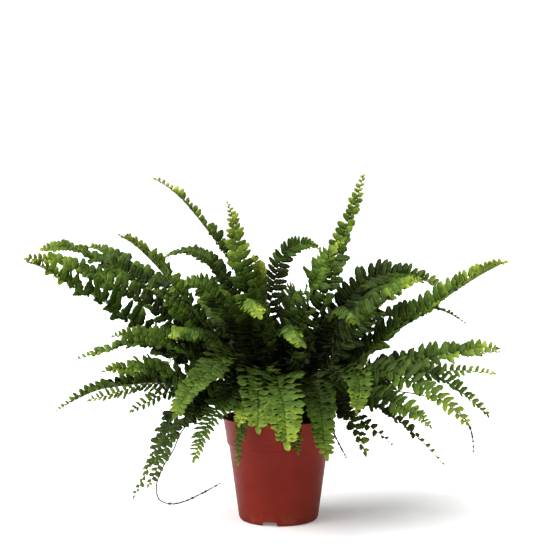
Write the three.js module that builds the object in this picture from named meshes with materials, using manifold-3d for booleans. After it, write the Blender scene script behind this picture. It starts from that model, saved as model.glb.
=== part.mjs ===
// Potted fern: a tapered plastic pot, the soil in it, the fronds and three wiry runners.
// Millimetres, +Z up. The origin is the middle of the pot's foot, on the surface it stands on.

import * as THREE from 'three';
import { mergeVertices } from 'three/addons/utils/BufferGeometryUtils.js';
import Module from 'manifold-3d';

const wasm = await Module();
wasm.setup();

// Pot
const potHeight = 110;
const potSides = 32;
const wall = 1.7;
const lipRadius = 60;
const lipWidth = 1.8;
const lipHeight = 2;
const bandFoot = 81.5;
const bandRadius = 55.2;
const bandStep = 1.6;
const cornerTop = 6;
const cornerRadius = 43;
const footRadius = 39.5;
const footWidth = 2;
const floorHeight = 5;
const floorTop = 6.5;
const notchAngles = [-103.4, 16.6, 136.6];
const notch = { width: 18, height: 4.6, slant: 1.5 };
const nick = { width: 4, height: 3, slant: 0.6 };
const nickTurn = -45;
const cutLength = 16;
const drainCount = 6;
const drainRadius = 4;
const drainCircle = 24;

// Soil
const soilEdge = 95;
const soilShoulder = { radius: 40, height: 97.5 };
const soilCrown = 101;
const clearance = 0.3;

// Fronds, shared
const stipeSteps = 4;
const pairSpacing = 14.2;
const fewestPairs = 7;
const mostPairs = 22;
const bareShare = 0.2;
const bladeThickness = 0.8;
const stipeWidth = 2.1;
const stipeDepth = 1.8;
const ribWidth = 1.7;
const ribTipWidth = 0.8;
const leafSweep = 0.32;
const leafFold = 12;
const buriedLength = 10;
const rootLift = 3;
const rootLean = 0.1;
const rootGap = 5.6;
const rootInner = 5;
const rootOuter = 34;
const rootRounds = 200;
const holeRoom = 0.35;

// Each frond is a row: where its tip is, how far its middle stands above the straight line to the
// tip (arch), the length of its longest leaflets (half), how many degrees its face turns to the
// front (turn), how far towards the tip the bend sits (skew), how far its middle stands to the right
// (bow), how much the tip hooks over (hook), how many degrees its leaflets fold up (fold, which
// hang below 0), and how young its green is, from 0 to 1 (young, which below 0 is old and dark).
const fronds = [
  // upright, in the middle
  { tip: [-134, 40, 367], arch: 32, half: 12, turn: 20, skew: 0.05, bow: 10, fold: 45, young: 0.35 },
  { tip: [-54, -5, 339], arch: 1, half: 20, turn: 75, skew: 0.1, bow: 3, young: 0.45 },
  { tip: [-23, -15, 279], arch: 0, half: 13, turn: 70, skew: 0.15, bow: 3, young: 1 },
  { tip: [46, 70, 289], arch: 34, half: 15, turn: 55, bow: -20, hook: 80 },
  { tip: [92, 20, 368], arch: 0, half: 16, turn: 50, fold: 25, young: 0.35 },
  { tip: [65, -40, 299], arch: 10, half: 23, turn: 65, skew: 0.2, bow: 12, young: 0.5 },
  { tip: [-60, -30, 245], arch: 10, half: 19, turn: 55, skew: 0.2 },
  { tip: [-19, -130, 230], arch: 38, half: 18, skew: 0.5, bow: 20, fold: -25, young: 0.15 },

  // left, high
  { tip: [-262, 50, 291], arch: 38, half: 14, turn: 40, skew: 0.2, young: 0.35 },
  { tip: [-219, 110, 291], arch: 29, half: 14, turn: 30, skew: 0.15, young: 0.25 },
  { tip: [-266, -10, 281], arch: 34, half: 15, turn: 45, skew: 0.1, young: 0.4 },
  { tip: [-249, -70, 277], arch: 10, half: 19, turn: 50, skew: 0.15, fold: 32, young: 0.35 },
  { tip: [-161, -30, 303], arch: 7, half: 18, turn: 20, skew: 0.2, fold: 40, young: 0.35 },
  { tip: [-134, 70, 277], arch: 52, half: 13, turn: 30, skew: 0.42, young: 0.55 },
  { tip: [-117, 10, 245], arch: 36, half: 20, turn: 40, skew: 0.45, young: 0.25 },

  // left, low
  { tip: [-111, -60, 203], arch: 30, half: 18, turn: 25, skew: 0.35, bow: -5, fold: -15, young: 0.15 },
  { tip: [-166, -80, 206], arch: 20, half: 20, turn: 45, skew: 0.1, bow: -10, young: 0.45 },
  { tip: [-220, 20, 168], arch: 46, half: 17, turn: 30, skew: 0.05 },
  { tip: [-170, -120, 173], arch: 15, half: 21, turn: 40, skew: 0.1, bow: -10, young: 0.45 },
  { tip: [-239, 0, 117], arch: 36, half: 16, turn: 35, fold: 60, young: 0.2 },
  { tip: [-213, 70, 118], arch: 30, half: 17, turn: 60, skew: -0.15, bow: 7 },
  { tip: [-150, -60, 126], arch: 30, half: 15, turn: 50, bow: -7 },
  { tip: [-148, -40, 31], arch: 66, half: 16, turn: 25, skew: 0.06, young: -0.6 },
  { tip: [-126, -110, 59], arch: 54, half: 16, turn: 20, young: -0.7 },

  // front
  { tip: [-78, -175, 99], arch: 58, half: 20, turn: 10, bow: -12, young: 0.1 },
  { tip: [-94, -180, 140], arch: 58, half: 21, turn: 15, skew: 0.1, bow: -13 },
  { tip: [-37, -160, 130], arch: 34, half: 13, skew: 0.2, bow: -7 },
  { tip: [-17, -185, 131], arch: 52, half: 24, skew: 0.15, bow: 2 },
  { tip: [6, -205, 118], arch: 58, half: 26, skew: 0.15, bow: 8 },
  { tip: [18, -120, 96], arch: 39, half: 12, bow: 5 },
  { tip: [46, -155, 99], arch: 61, half: 20, turn: 5, skew: 0.1 },
  { tip: [72, -190, 144], arch: 45, half: 17, turn: 10, skew: 0.3, bow: -14 },
  { tip: [-42, -80, 76], arch: 36, half: 9 },
  { tip: [75, -120, 222], arch: 35, half: 17, turn: 5, skew: 0.5, fold: -30, young: 0.1 },
  { tip: [22, -160, 202], arch: 41, half: 16, skew: 0.4, bow: 10, fold: -30 },

  // right
  { tip: [188, 60, 240], arch: 69, half: 19, turn: 45, skew: 0.28, fold: 30 },
  { tip: [148, -20, 258], arch: 14, half: 20, turn: 40, skew: 0.2, young: 0.2 },
  { tip: [231, -30, 277], arch: 18, half: 22, turn: 35, hook: -25, fold: 30, young: 0.56 },
  { tip: [209, 60, 206], arch: 53, half: 14, turn: 20, skew: 0.25 },
  { tip: [222, -60, 189], arch: 16, half: 17, turn: 55, skew: 0.12, young: 0.45 },
  { tip: [236, 30, 152], arch: 14, half: 13, turn: 50, young: 0.3 },
  { tip: [225, 10, 110], arch: 59, half: 18, turn: 35 },
  { tip: [186, -100, 118], arch: 55, half: 22, turn: 35, bow: 9, young: 0.25 },
  { tip: [179, 20, 59], arch: 46, half: 14, turn: 30, skew: -0.25 },
  { tip: [146, -130, 119], arch: 31, half: 18, turn: 45, skew: 0.15 },
  { tip: [118, -30, 83], arch: 26, half: 13, turn: 30, skew: -0.3 },
  { tip: [88, -70, 84], arch: 33, half: 13, turn: 20, skew: -0.1, young: 0.3 },

  // back
  { tip: [-88, 110, 230], arch: 14, half: 22, turn: 50 },
  { tip: [-136, -20, 249], arch: 14, half: 18, turn: 40, skew: 0.1, young: 0.3 },
  { tip: [165, 110, 250], arch: 45, half: 20, turn: 40, skew: 0.2 },
  { tip: [-132, 170, 150], arch: 48, half: 17 },
  { tip: [262, 135, 165], arch: 26, half: 18, turn: 35, skew: 0.05 },
  { tip: [60, 207, 150], arch: 52, half: 20 },
  { tip: [150, 140, 95], arch: 36, half: 21, turn: 50 },
  { tip: [18, 150, 238], arch: 26, half: 24, turn: 40 },
];

// Bending clear: how often, at how many stations of each frond, and how freely each is pushed
const bendRounds = 90;
const bendStations = 14;
const bendReach = 44;
const bendStep = 2.5;
const bendThickness = 2.4;
const bendGain = 2;
const bendSlack = new THREE.Vector3(0.7, 1.2, 0.8);
const bendTipSlack = new THREE.Vector3(0.35, 1.2, 0.4);
const bendReturn = 0.02;
const bendBallast = 0.3;

// Leaflets that would still cross a neighbour are cut shorter, a little in each round.
const trimRounds = 24;
const trimShare = 0.78;
const trimLeast = 0.12;
const trimMargin = 0.6;
const trimDepth = 3;

// Runners: thin wiry stems that hang over the rim
const runnerRadius = 0.6;
const runnerSides = 5;
const runnerSteps = 2;
const runnerHoleSides = 6;
const runners = {
  runner_left: [
    [-29, -26, 92], [-30, -28, 105], [-50, -40, 124], [-75, -46, 122], [-99, -45, 103],
    [-110, -45, 80], [-120, -45, 64], [-127, -45, 44], [-125, -45, 31], [-120, -45, 27],
    [-110, -45, 25], [-97, -45, 28], [-86, -45, 33], [-76, -45, 38], [-67, -45, 43], [-60, -45, 47],
  ],
  runner_middle: [
    [24, -30, 92], [25, -32, 105], [36, -44, 122], [50, -52, 116], [58, -53, 98], [64, -54, 86],
    [70, -55, 75],
  ],
  runner_right: [
    [34, -20, 92], [35, -21, 105], [62, -34, 130], [100, -44, 142], [145, -52, 140],
    [178, -58, 128], [194, -60, 112], [199, -60, 97], [200, -60, 82],
  ],
};

const potColor = new THREE.Color(0x9c3f31);
const soilColor = new THREE.Color(0x2b2019);
const frondColor = new THREE.Color(0x35551f);
const youngColor = new THREE.Color(0x8fae3a);
const runnerColor = new THREE.Color(0x7a6a3a);

const up = new THREE.Vector3(0, 0, 1);
const radians = THREE.MathUtils.degToRad;
const { lerp, clamp } = THREE.MathUtils;

// A closed geometry as a solid: its shared corners are merged and its empty faces dropped.
function toSolid(geometry) {
  const bare = geometry.clone();
  bare.deleteAttribute('normal');
  bare.deleteAttribute('uv');
  const merged = mergeVertices(bare, 1e-4);
  const index = merged.index.array;
  const kept = [];
  for (let i = 0; i < index.length; i += 3) {
    const [a, b, c] = [index[i], index[i + 1], index[i + 2]];
    if (a !== b && b !== c && c !== a) kept.push(a, b, c);
  }
  return solidOf(merged.attributes.position.array, kept);
}

function solidOf(corners, faces) {
  const vertProperties = new Float32Array(corners);
  const triVerts = new Uint32Array(faces);
  return new wasm.Manifold(new wasm.Mesh({ numProp: 3, vertProperties, triVerts }));
}

function toGeometry(solid) {
  const { vertProperties, triVerts } = solid.getMesh();
  const geometry = new THREE.BufferGeometry();
  geometry.setAttribute('position', new THREE.BufferAttribute(vertProperties, 3));
  geometry.setIndex(new THREE.BufferAttribute(triVerts, 1));
  geometry.computeVertexNormals();
  return geometry;
}

function turned(profile) {
  const points = profile.map(([r, z]) => new THREE.Vector2(r, z));
  return toSolid(new THREE.LatheGeometry(points, potSides).rotateX(Math.PI / 2));
}

// The outer radius of the wall below the rim band, and of the band
function wallRadius(z) {
  const share = (z - cornerTop) / (bandFoot - cornerTop);
  return lerp(cornerRadius, bandRadius - bandStep, share);
}

function rimRadius(z) {
  return lerp(bandRadius, lipRadius, (z - bandFoot) / (potHeight - bandFoot));
}

function potSolid() {
  const footInner = footRadius - footWidth;
  const outside = [
    [0, floorHeight],
    [footInner - 1.5, floorHeight],
    [footInner, 0],
    [footRadius, 0],
    [lerp(footRadius, cornerRadius, 0.7), cornerTop * 0.37],
    [cornerRadius, cornerTop],
    [wallRadius(bandFoot - 1.5), bandFoot - 1.5],
    [bandRadius, bandFoot],
    [lipRadius - 0.8, potHeight - lipHeight],
    [lipRadius, potHeight - lipHeight / 2],
    [lipRadius, potHeight],
  ];
  const inside = [
    [lipRadius - lipWidth, potHeight],
    [bandRadius - wall, bandFoot],
    [wallRadius(bandFoot - 2.5) - wall, bandFoot - 2.5],
    [wallRadius(floorTop + 1.5) - wall, floorTop + 1.5],
    [wallRadius(floorTop) - wall - 1.4, floorTop],
    [0, floorTop],
  ];
  let solid = turned([...outside, ...inside]);
  for (const angle of notchAngles) {
    solid = solid.subtract(footCut(angle, notch)).subtract(footCut(angle + nickTurn, nick));
  }
  for (let i = 0; i < drainCount; i++) solid = solid.subtract(drainSolid(i * 360 / drainCount));
  return solid;
}

// A low opening through the foot ring, a little wider at the bottom
function footCut(angle, { width, height, slant }) {
  const half = width / 2;
  const outline = new THREE.Shape([[-half, -1], [half, -1], [half - slant, height], [slant - half, height]]
    .map(([x, y]) => new THREE.Vector2(x, y)));
  const geometry = new THREE.ExtrudeGeometry(outline, { depth: cutLength, bevelEnabled: false });
  geometry.rotateX(Math.PI / 2);
  geometry.translate(0, cutLength / 2 - footRadius, 0);
  geometry.rotateZ(radians(angle + 90));
  return toSolid(geometry);
}

function drainSolid(angle) {
  const geometry = new THREE.CylinderGeometry(drainRadius, drainRadius, 2 * floorHeight, 8);
  geometry.rotateX(Math.PI / 2);
  geometry.translate(drainCircle, 0, floorHeight);
  geometry.rotateZ(radians(angle));
  return toSolid(geometry);
}

// The soil fills the pot, with a plain hole for each stem that stands in it.
function soilSolid(holes) {
  const inset = wall + clearance;
  const foot = floorTop + clearance;
  const filled = turned([
    [0, foot],
    [wallRadius(foot) - inset - 1.4, foot],
    [wallRadius(foot + 1.5) - inset, foot + 1.5],
    [wallRadius(bandFoot - 2.5) - inset, bandFoot - 2.4],
    [bandRadius - inset, bandFoot],
    [rimRadius(soilEdge) - inset - 0.4, soilEdge],
    [soilShoulder.radius, soilShoulder.height],
    [0, soilCrown],
  ]);
  return filled.subtract(wasm.Manifold.union(holes));
}

function soilTop(radius) {
  return lerp(soilCrown, soilShoulder.height, radius / soilShoulder.radius);
}

// Roots: the lower a frond's tip, the further out it leaves the crown, and no two are too close.
function spreadRoots() {
  const places = fronds.map(({ tip: [x, y, z] }) => {
    const out = Math.hypot(x, y);
    const rise = clamp(Math.atan2(z - soilCrown, out) / radians(75), -0.25, 1);
    const radius = lerp(rootInner, rootOuter, (1 - rise) / 1.25);
    return new THREE.Vector2(x, y).multiplyScalar(radius / out);
  });
  for (let round = 0; round < rootRounds; round++) {
    const pushes = places.map((place) => rootPush(place, places));
    places.forEach((place, i) => place.add(pushes[i]));
  }
  return places.map((place) => new THREE.Vector3(place.x, place.y, soilTop(place.length()) + rootLift));
}

function rootPush(place, places) {
  const push = new THREE.Vector2();
  for (const other of places) {
    const apart = place.clone().sub(other);
    const distance = apart.length();
    if (other !== place && distance < rootGap) {
      push.addScaledVector(apart, 0.25 * (rootGap - distance) / Math.max(distance, 0.1));
    }
  }
  return push;
}

// A frond's line is a cubic curve from its root to its tip, kept as its four control points.
function layFrond(row, root) {
  const tip = new THREE.Vector3(...row.tip);
  const chord = tip.clone().sub(root);
  const along = chord.clone().normalize();
  const lift = up.clone().addScaledVector(along, -Math.max(along.z, 0)).normalize();
  const sideways = new THREE.Vector3(chord.y, -chord.x, 0).normalize();
  const bend = root.clone().addScaledVector(chord, 0.5 + (row.skew ?? 0));
  bend.addScaledVector(lift, 2 * row.arch).addScaledVector(sideways, 2 * (row.bow ?? 0));
  const points = [root, root.clone().lerp(bend, 2 / 3), tip.clone().lerp(bend, 2 / 3), tip];
  points[2].z += row.hook ?? 0;
  return { row, points, rest: points.map((point) => point.clone()), sideways };
}

// The middle of the rib at a share u of its line, with the ways ahead, to its right and over it
function station(frond, u) {
  const curve = new THREE.CubicBezierCurve3(...frond.points);
  const ahead = curve.getTangent(u);
  const side = frond.sideways.clone().addScaledVector(ahead, -frond.sideways.dot(ahead)).normalize();
  side.applyAxisAngle(ahead, radians(frond.row.turn ?? 0) * Math.sign(frond.row.tip[0]));
  return { at: curve.getPoint(u), ahead, side, over: side.clone().cross(ahead) };
}

// Leaflet length at a share v of the blade: short at the foot, longest at a third, small at the tip
function leafLength(row, v) {
  const foot = 0.6 + 0.4 * Math.sin(Math.min(v / 0.35, 1) * Math.PI / 2);
  const tip = 1 - 0.85 * Math.max(0, (v - 0.35) / 0.65) ** 1.7;
  return row.half * foot * tip;
}

// Each station is an ellipsoid round the leaflets there. Where the ellipsoids of two fronds meet,
// both fronds are pushed apart, the way that clears them soonest.
function bendClear(laid) {
  for (let round = 0; round < bendRounds; round++) {
    const beads = laid.flatMap(beadsOf);
    const sums = laid.map(() => [0, 1, 2].map(() => ({ push: new THREE.Vector3(), weight: bendBallast })));
    beads.forEach((a, i) => {
      for (const b of beads.slice(i + 1)) {
        const push = apartPush(a, b);
        if (!push) continue;
        addPush(sums[a.owner], a.u, push, 0.5);
        addPush(sums[b.owner], b.u, push, -0.5);
      }
    });
    laid.forEach((frond, owner) => movePoints(frond, sums[owner]));
  }
}

function beadsOf(frond, owner) {
  const long = 0.6 * frond.points[0].distanceTo(frond.points[3]) / bendStations;
  return Array.from({ length: bendStations }, (_, k) => {
    const u = (k + 1.5) / (bendStations + 0.5);
    const v = (u - bareShare) / (1 - bareShare);
    const { at, side, over, ahead } = station(frond, u);
    const form = new THREE.Matrix3().multiplyScalar(0);
    addAxis(form, side, v > 0 ? leafLength(frond.row, v) : stipeWidth);
    addAxis(form, over, v > 0 ? bendThickness : stipeWidth);
    addAxis(form, ahead, long);
    return { owner, u, at, form };
  });
}

function addAxis(form, way, size) {
  const w = way.toArray();
  form.elements.forEach((_, k) => {
    form.elements[k] += size * size * w[k % 3] * w[Math.floor(k / 3)];
  });
}

function apartPush(a, b) {
  if (a.owner === b.owner || Math.abs(a.at.x - b.at.x) > bendReach) return null;
  const apart = a.at.clone().sub(b.at);
  if (apart.length() > bendReach) return null;
  const form = new THREE.Matrix3();
  form.elements = a.form.elements.map((value, k) => value + b.form.elements[k]);
  const slope = apart.clone().applyMatrix3(form.invert());
  const depth = 2 - apart.dot(slope);
  if (depth <= 0) return null;
  const steep = Math.max(slope.length(), 1e-6);
  return slope.multiplyScalar(Math.min(depth / (2 * steep), bendStep) / steep);
}

function addPush(sums, u, push, share) {
  const weights = [3 * u * (1 - u) ** 2, 3 * u * u * (1 - u), u ** 3];
  weights.forEach((weight, k) => {
    sums[k].push.addScaledVector(push, share * weight);
    sums[k].weight += weight;
  });
}

function movePoints(frond, sums) {
  sums.forEach(({ push, weight }, k) => {
    const slack = k === 2 ? bendTipSlack : bendSlack;
    const point = frond.points[k + 1];
    point.add(push.multiplyScalar(bendGain / weight).multiply(slack));
    point.lerp(frond.rest[k + 1], bendReturn);
  });
}

function pairCount(frond) {
  const length = new THREE.CubicBezierCurve3(...frond.points).getLength() * (1 - bareShare);
  return clamp(Math.round(length / pairSpacing), fewestPairs, mostPairs);
}

// Leaflets stand closer together towards the tip.
function bladeShare(share) {
  return share * (1.25 - 0.25 * share);
}

// The blade is one thin strip whose sides are cut to the rib between the leaflets. Both faces are
// split into the same triangles. A ring's corners are left top, right top, right bottom, left bottom.
class FrondMesh {
  constructor() {
    this.points = [];
    this.faces = [];
    this.leaves = [];
  }

  corner(place, right, above, ahead = 0) {
    const point = place.at.clone().addScaledVector(place.side, right);
    point.addScaledVector(place.over, above).addScaledVector(place.ahead, ahead);
    return this.points.push(point) - 1;
  }

  ring(place, width, depth) {
    const [w, d] = [width / 2, depth / 2];
    return [[-w, d], [w, d], [w, -d], [-w, -d]].map(([right, above]) => this.corner(place, right, above));
  }

  quad(a, b, c, d) {
    this.faces.push([a, b, c], [a, c, d]);
  }

  startFace([a, b, c, d]) {
    this.quad(d, c, b, a);
  }

  endFace([a, b, c, d]) {
    this.quad(a, b, c, d);
  }

  ribFaces(a, b) {
    this.quad(a[0], a[1], b[1], b[0]);
    this.quad(a[2], a[3], b[3], b[2]);
  }

  stemFaces(a, b) {
    this.ribFaces(a, b);
    this.quad(a[1], a[2], b[2], b[1]);
    this.quad(a[3], a[0], b[0], b[3]);
  }

  // One leaflet to the right (hand 1) or left (hand -1), from ring a to ring b
  leafFaces(a, b, place, reach, fold, hand) {
    const right = hand * reach * Math.cos(fold);
    const above = reach * Math.sin(fold);
    const top = this.corner(place, right, above + bladeThickness / 2, reach * leafSweep);
    const low = this.corner(place, right, above - bladeThickness / 2, reach * leafSweep);
    this.leaves.push([a, b].map((ring) => this.points[ring[0]]).concat(this.points[top]));
    if (hand > 0) {
      this.faces.push([a[1], top, b[1]], [a[2], b[2], low]);
      this.quad(a[1], a[2], low, top);
      this.quad(top, low, b[2], b[1]);
    } else {
      this.faces.push([a[0], b[0], top], [a[3], low, b[3]]);
      this.quad(a[3], a[0], top, low);
      this.quad(low, top, b[0], b[3]);
    }
  }

  solid() {
    return solidOf(this.points.flatMap((point) => point.toArray()), this.faces.flat());
  }
}

// The straight buried foot of a stipe, from below the soil to just over it
function footPlaces(frond, deeper = 0, higher = 0) {
  const out = new THREE.Vector3(-frond.sideways.y, frond.sideways.x, 0);
  const ahead = up.clone().addScaledVector(out, rootLean).normalize();
  const side = frond.sideways;
  const over = side.clone().cross(ahead);
  return [-buriedLength - rootLift - deeper, higher].map((step) => (
    { at: frond.points[0].clone().addScaledVector(ahead, step), ahead, side, over }));
}

function buildFrond(frond) {
  const mesh = new FrondMesh();
  let last = buildStipe(mesh, frond);
  const fold = radians(frond.row.fold ?? leafFold);
  for (let k = 0; k < frond.pairs; k++) {
    const middle = bladeShare((k + 0.5) / frond.pairs);
    const end = bladeShare((k + 1) / frond.pairs);
    const width = lerp(ribWidth, ribTipWidth, end);
    const next = mesh.ring(station(frond, lerp(bareShare, 1, end)), width, bladeThickness);
    const place = station(frond, lerp(bareShare, 1, middle));
    const length = leafLength(frond.row, middle);
    mesh.ribFaces(last, next);
    mesh.leafFaces(last, next, place, length * frond.kept[2 * k], fold, 1);
    mesh.leafFaces(last, next, place, length * frond.kept[2 * k + 1], fold, -1);
    last = next;
  }
  mesh.endFace(last);
  return mesh;
}

function buildStipe(mesh, frond) {
  const [foot, root] = footPlaces(frond).map((place) => mesh.ring(place, stipeWidth, stipeDepth));
  mesh.startFace(foot);
  mesh.stemFaces(foot, root);
  let last = root;
  for (let k = 1; k <= stipeSteps; k++) {
    const share = k / stipeSteps;
    const [width, depth] = [lerp(stipeWidth, ribWidth, share), lerp(stipeDepth, bladeThickness, share)];
    const next = mesh.ring(station(frond, bareShare * share), width, depth);
    mesh.stemFaces(last, next);
    last = next;
  }
  return last;
}

function stemHole(frond) {
  const mesh = new FrondMesh();
  const [width, depth] = [stipeWidth + 2 * holeRoom, stipeDepth + 2 * holeRoom];
  const [foot, top] = footPlaces(frond, 1, 0.5).map((place) => mesh.ring(place, width, depth));
  mesh.startFace(foot);
  mesh.stemFaces(foot, top);
  mesh.endFace(top);
  return mesh.solid();
}

function runnerSolid(route) {
  const points = route.map((point) => new THREE.Vector3(...point));
  const path = new THREE.CatmullRomCurve3(points, false, 'centripetal');
  const outline = new THREE.Shape(Array.from({ length: runnerSides }, (_, k) => {
    const angle = 2 * Math.PI * k / runnerSides;
    return new THREE.Vector2(runnerRadius * Math.cos(angle), runnerRadius * Math.sin(angle));
  }));
  const steps = route.length * runnerSteps;
  return toSolid(new THREE.ExtrudeGeometry(outline, { extrudePath: path, steps, bevelEnabled: false }));
}

// A plain hole round the first stretch of a runner, a little longer than that stretch
function runnerHole(route) {
  const [foot, top] = route.slice(0, 2).map((point) => new THREE.Vector3(...point));
  const way = top.clone().sub(foot);
  const radius = runnerRadius + 2 * clearance;
  const geometry = new THREE.CylinderGeometry(radius, radius, way.length() + 2, runnerHoleSides);
  geometry.rotateX(Math.PI / 2);
  geometry.applyQuaternion(new THREE.Quaternion().setFromUnitVectors(up, way.normalize()));
  geometry.translate(...foot.lerp(top, 0.5).toArray());
  return toSolid(geometry);
}

function boxOf(solid) {
  const { min, max } = solid.boundingBox();
  return new THREE.Box3(new THREE.Vector3(...min), new THREE.Vector3(...max));
}

// The box round each stretch that two pieces share
function crossings(a, b) {
  if (!a.box.intersectsBox(b.box)) return [];
  const shared = a.solid.intersect(b.solid);
  return shared.isEmpty() ? [] : shared.decompose().map(boxOf);
}

// Shortens the leaflets of a piece that reach into a box.
function trimLeaves(piece, box) {
  const middle = box.getCenter(new THREE.Vector3());
  piece.mesh.leaves.forEach((corners, k) => {
    const hull = new THREE.Box3().setFromPoints(corners).expandByScalar(trimMargin);
    const depth = new THREE.Plane().setFromCoplanarPoints(...corners).distanceToPoint(middle);
    const touches = Math.abs(depth) < trimDepth && hull.intersectsBox(box);
    if (touches && piece.frond.kept[k] > trimLeast) {
      piece.frond.kept[k] *= trimShare;
      piece.changed = true;
    }
  });
}

function rebuild(piece) {
  piece.mesh = buildFrond(piece.frond);
  piece.solid = piece.mesh.solid();
  piece.box = boxOf(piece.solid);
  piece.changed = false;
}

function trimClear(laid, obstacles) {
  const fixed = obstacles.map((solid) => ({ solid, box: boxOf(solid) }));
  const pieces = laid.map((frond) => ({ frond }));
  let stale = pieces;
  for (let round = 0; round < trimRounds && stale.length; round++) {
    stale.forEach(rebuild);
    const fresh = new Set(stale);
    pieces.forEach((a, i) => {
      for (const b of [...pieces.slice(i + 1), ...fixed]) {
        if (!fresh.has(a) && !fresh.has(b)) continue;
        for (const box of crossings(a, b)) {
          trimLeaves(a, box);
          if (b.mesh) trimLeaves(b, box);
        }
      }
    });
    stale = pieces.filter((piece) => piece.changed);
  }
  return pieces.map((piece) => piece.solid);
}

function named(name, solid, color, roughness) {
  const material = new THREE.MeshStandardMaterial({ color, roughness, metalness: 0 });
  const mesh = new THREE.Mesh(toGeometry(solid), material);
  mesh.name = name;
  return mesh;
}

const roots = spreadRoots();
const laid = fronds.map((row, k) => layFrond(row, roots[k]));
bendClear(laid);
for (const frond of laid) {
  frond.pairs = pairCount(frond);
  frond.kept = Array(frond.pairs * 2).fill(1);
}

const routes = Object.values(runners);
const runnerSolids = routes.map(runnerSolid);
const pot = potSolid();
const soil = soilSolid([...laid.map(stemHole), ...routes.map(runnerHole)]);
const frondSolids = trimClear(laid, [pot, soil, ...runnerSolids]);

const fern = new THREE.Group();
fern.add(named('pot', pot, potColor, 0.5));
fern.add(named('soil', soil, soilColor, 0.95));
frondSolids.forEach((solid, k) => {
  const color = frondColor.clone().lerp(youngColor, Math.max(fronds[k].young ?? 0, 0));
  fern.add(named(`frond_${String(k + 1).padStart(2, '0')}`, solid, color, 0.55));
});
Object.keys(runners).forEach((name, k) => fern.add(named(name, runnerSolids[k], runnerColor, 0.7)));

export default fern;
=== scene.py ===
import math

import bmesh
import bpy
import numpy as np
from mathutils import Matrix, Vector, noise


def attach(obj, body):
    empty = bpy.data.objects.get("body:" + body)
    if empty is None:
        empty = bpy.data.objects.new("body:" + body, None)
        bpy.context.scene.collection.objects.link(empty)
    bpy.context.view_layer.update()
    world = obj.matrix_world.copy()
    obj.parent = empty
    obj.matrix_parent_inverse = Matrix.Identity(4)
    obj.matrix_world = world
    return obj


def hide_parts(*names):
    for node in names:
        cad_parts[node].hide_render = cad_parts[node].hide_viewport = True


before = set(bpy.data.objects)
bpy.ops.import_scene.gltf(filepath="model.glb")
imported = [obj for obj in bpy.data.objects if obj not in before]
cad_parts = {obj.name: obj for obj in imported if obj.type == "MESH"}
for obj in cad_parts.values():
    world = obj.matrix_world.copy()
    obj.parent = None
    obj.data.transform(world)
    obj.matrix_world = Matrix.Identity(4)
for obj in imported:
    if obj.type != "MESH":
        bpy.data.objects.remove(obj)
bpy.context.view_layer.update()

# Potted sword fern. Metres, +Z up, the origin under the middle of the pot.
up = np.array([0.0, 0.0, 1.0])


# Materials

def wireMaths(operation, swapped=False):
    def apply(self, other=0.0):
        return self.maths(operation, other, self) if swapped else self.maths(operation, self, other)
    return apply


class Wire:
    # A node socket that can be reckoned with: wire * 2 + 1 adds its Math nodes
    def __init__(self, paint, socket):
        self.paint = paint
        self.socket = socket

    def maths(self, operation, first, second):
        return self.paint.node("Math", {"operation": operation}, {0: first, 1: second})

    __add__ = wireMaths("ADD")
    __radd__ = wireMaths("ADD", swapped=True)
    __sub__ = wireMaths("SUBTRACT")
    __rsub__ = wireMaths("SUBTRACT", swapped=True)
    __mul__ = wireMaths("MULTIPLY")
    __rmul__ = wireMaths("MULTIPLY", swapped=True)
    __pow__ = wireMaths("POWER")
    __abs__ = wireMaths("ABSOLUTE")
    sine = wireMaths("SINE")

    # 0 below low, 1 above high, smooth between them
    def ramp(self, low, high):
        settings = {"interpolation_type": "SMOOTHSTEP"}
        return self.paint.node("MapRange", settings, {"Value": self, "From Min": low, "From Max": high})


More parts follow.
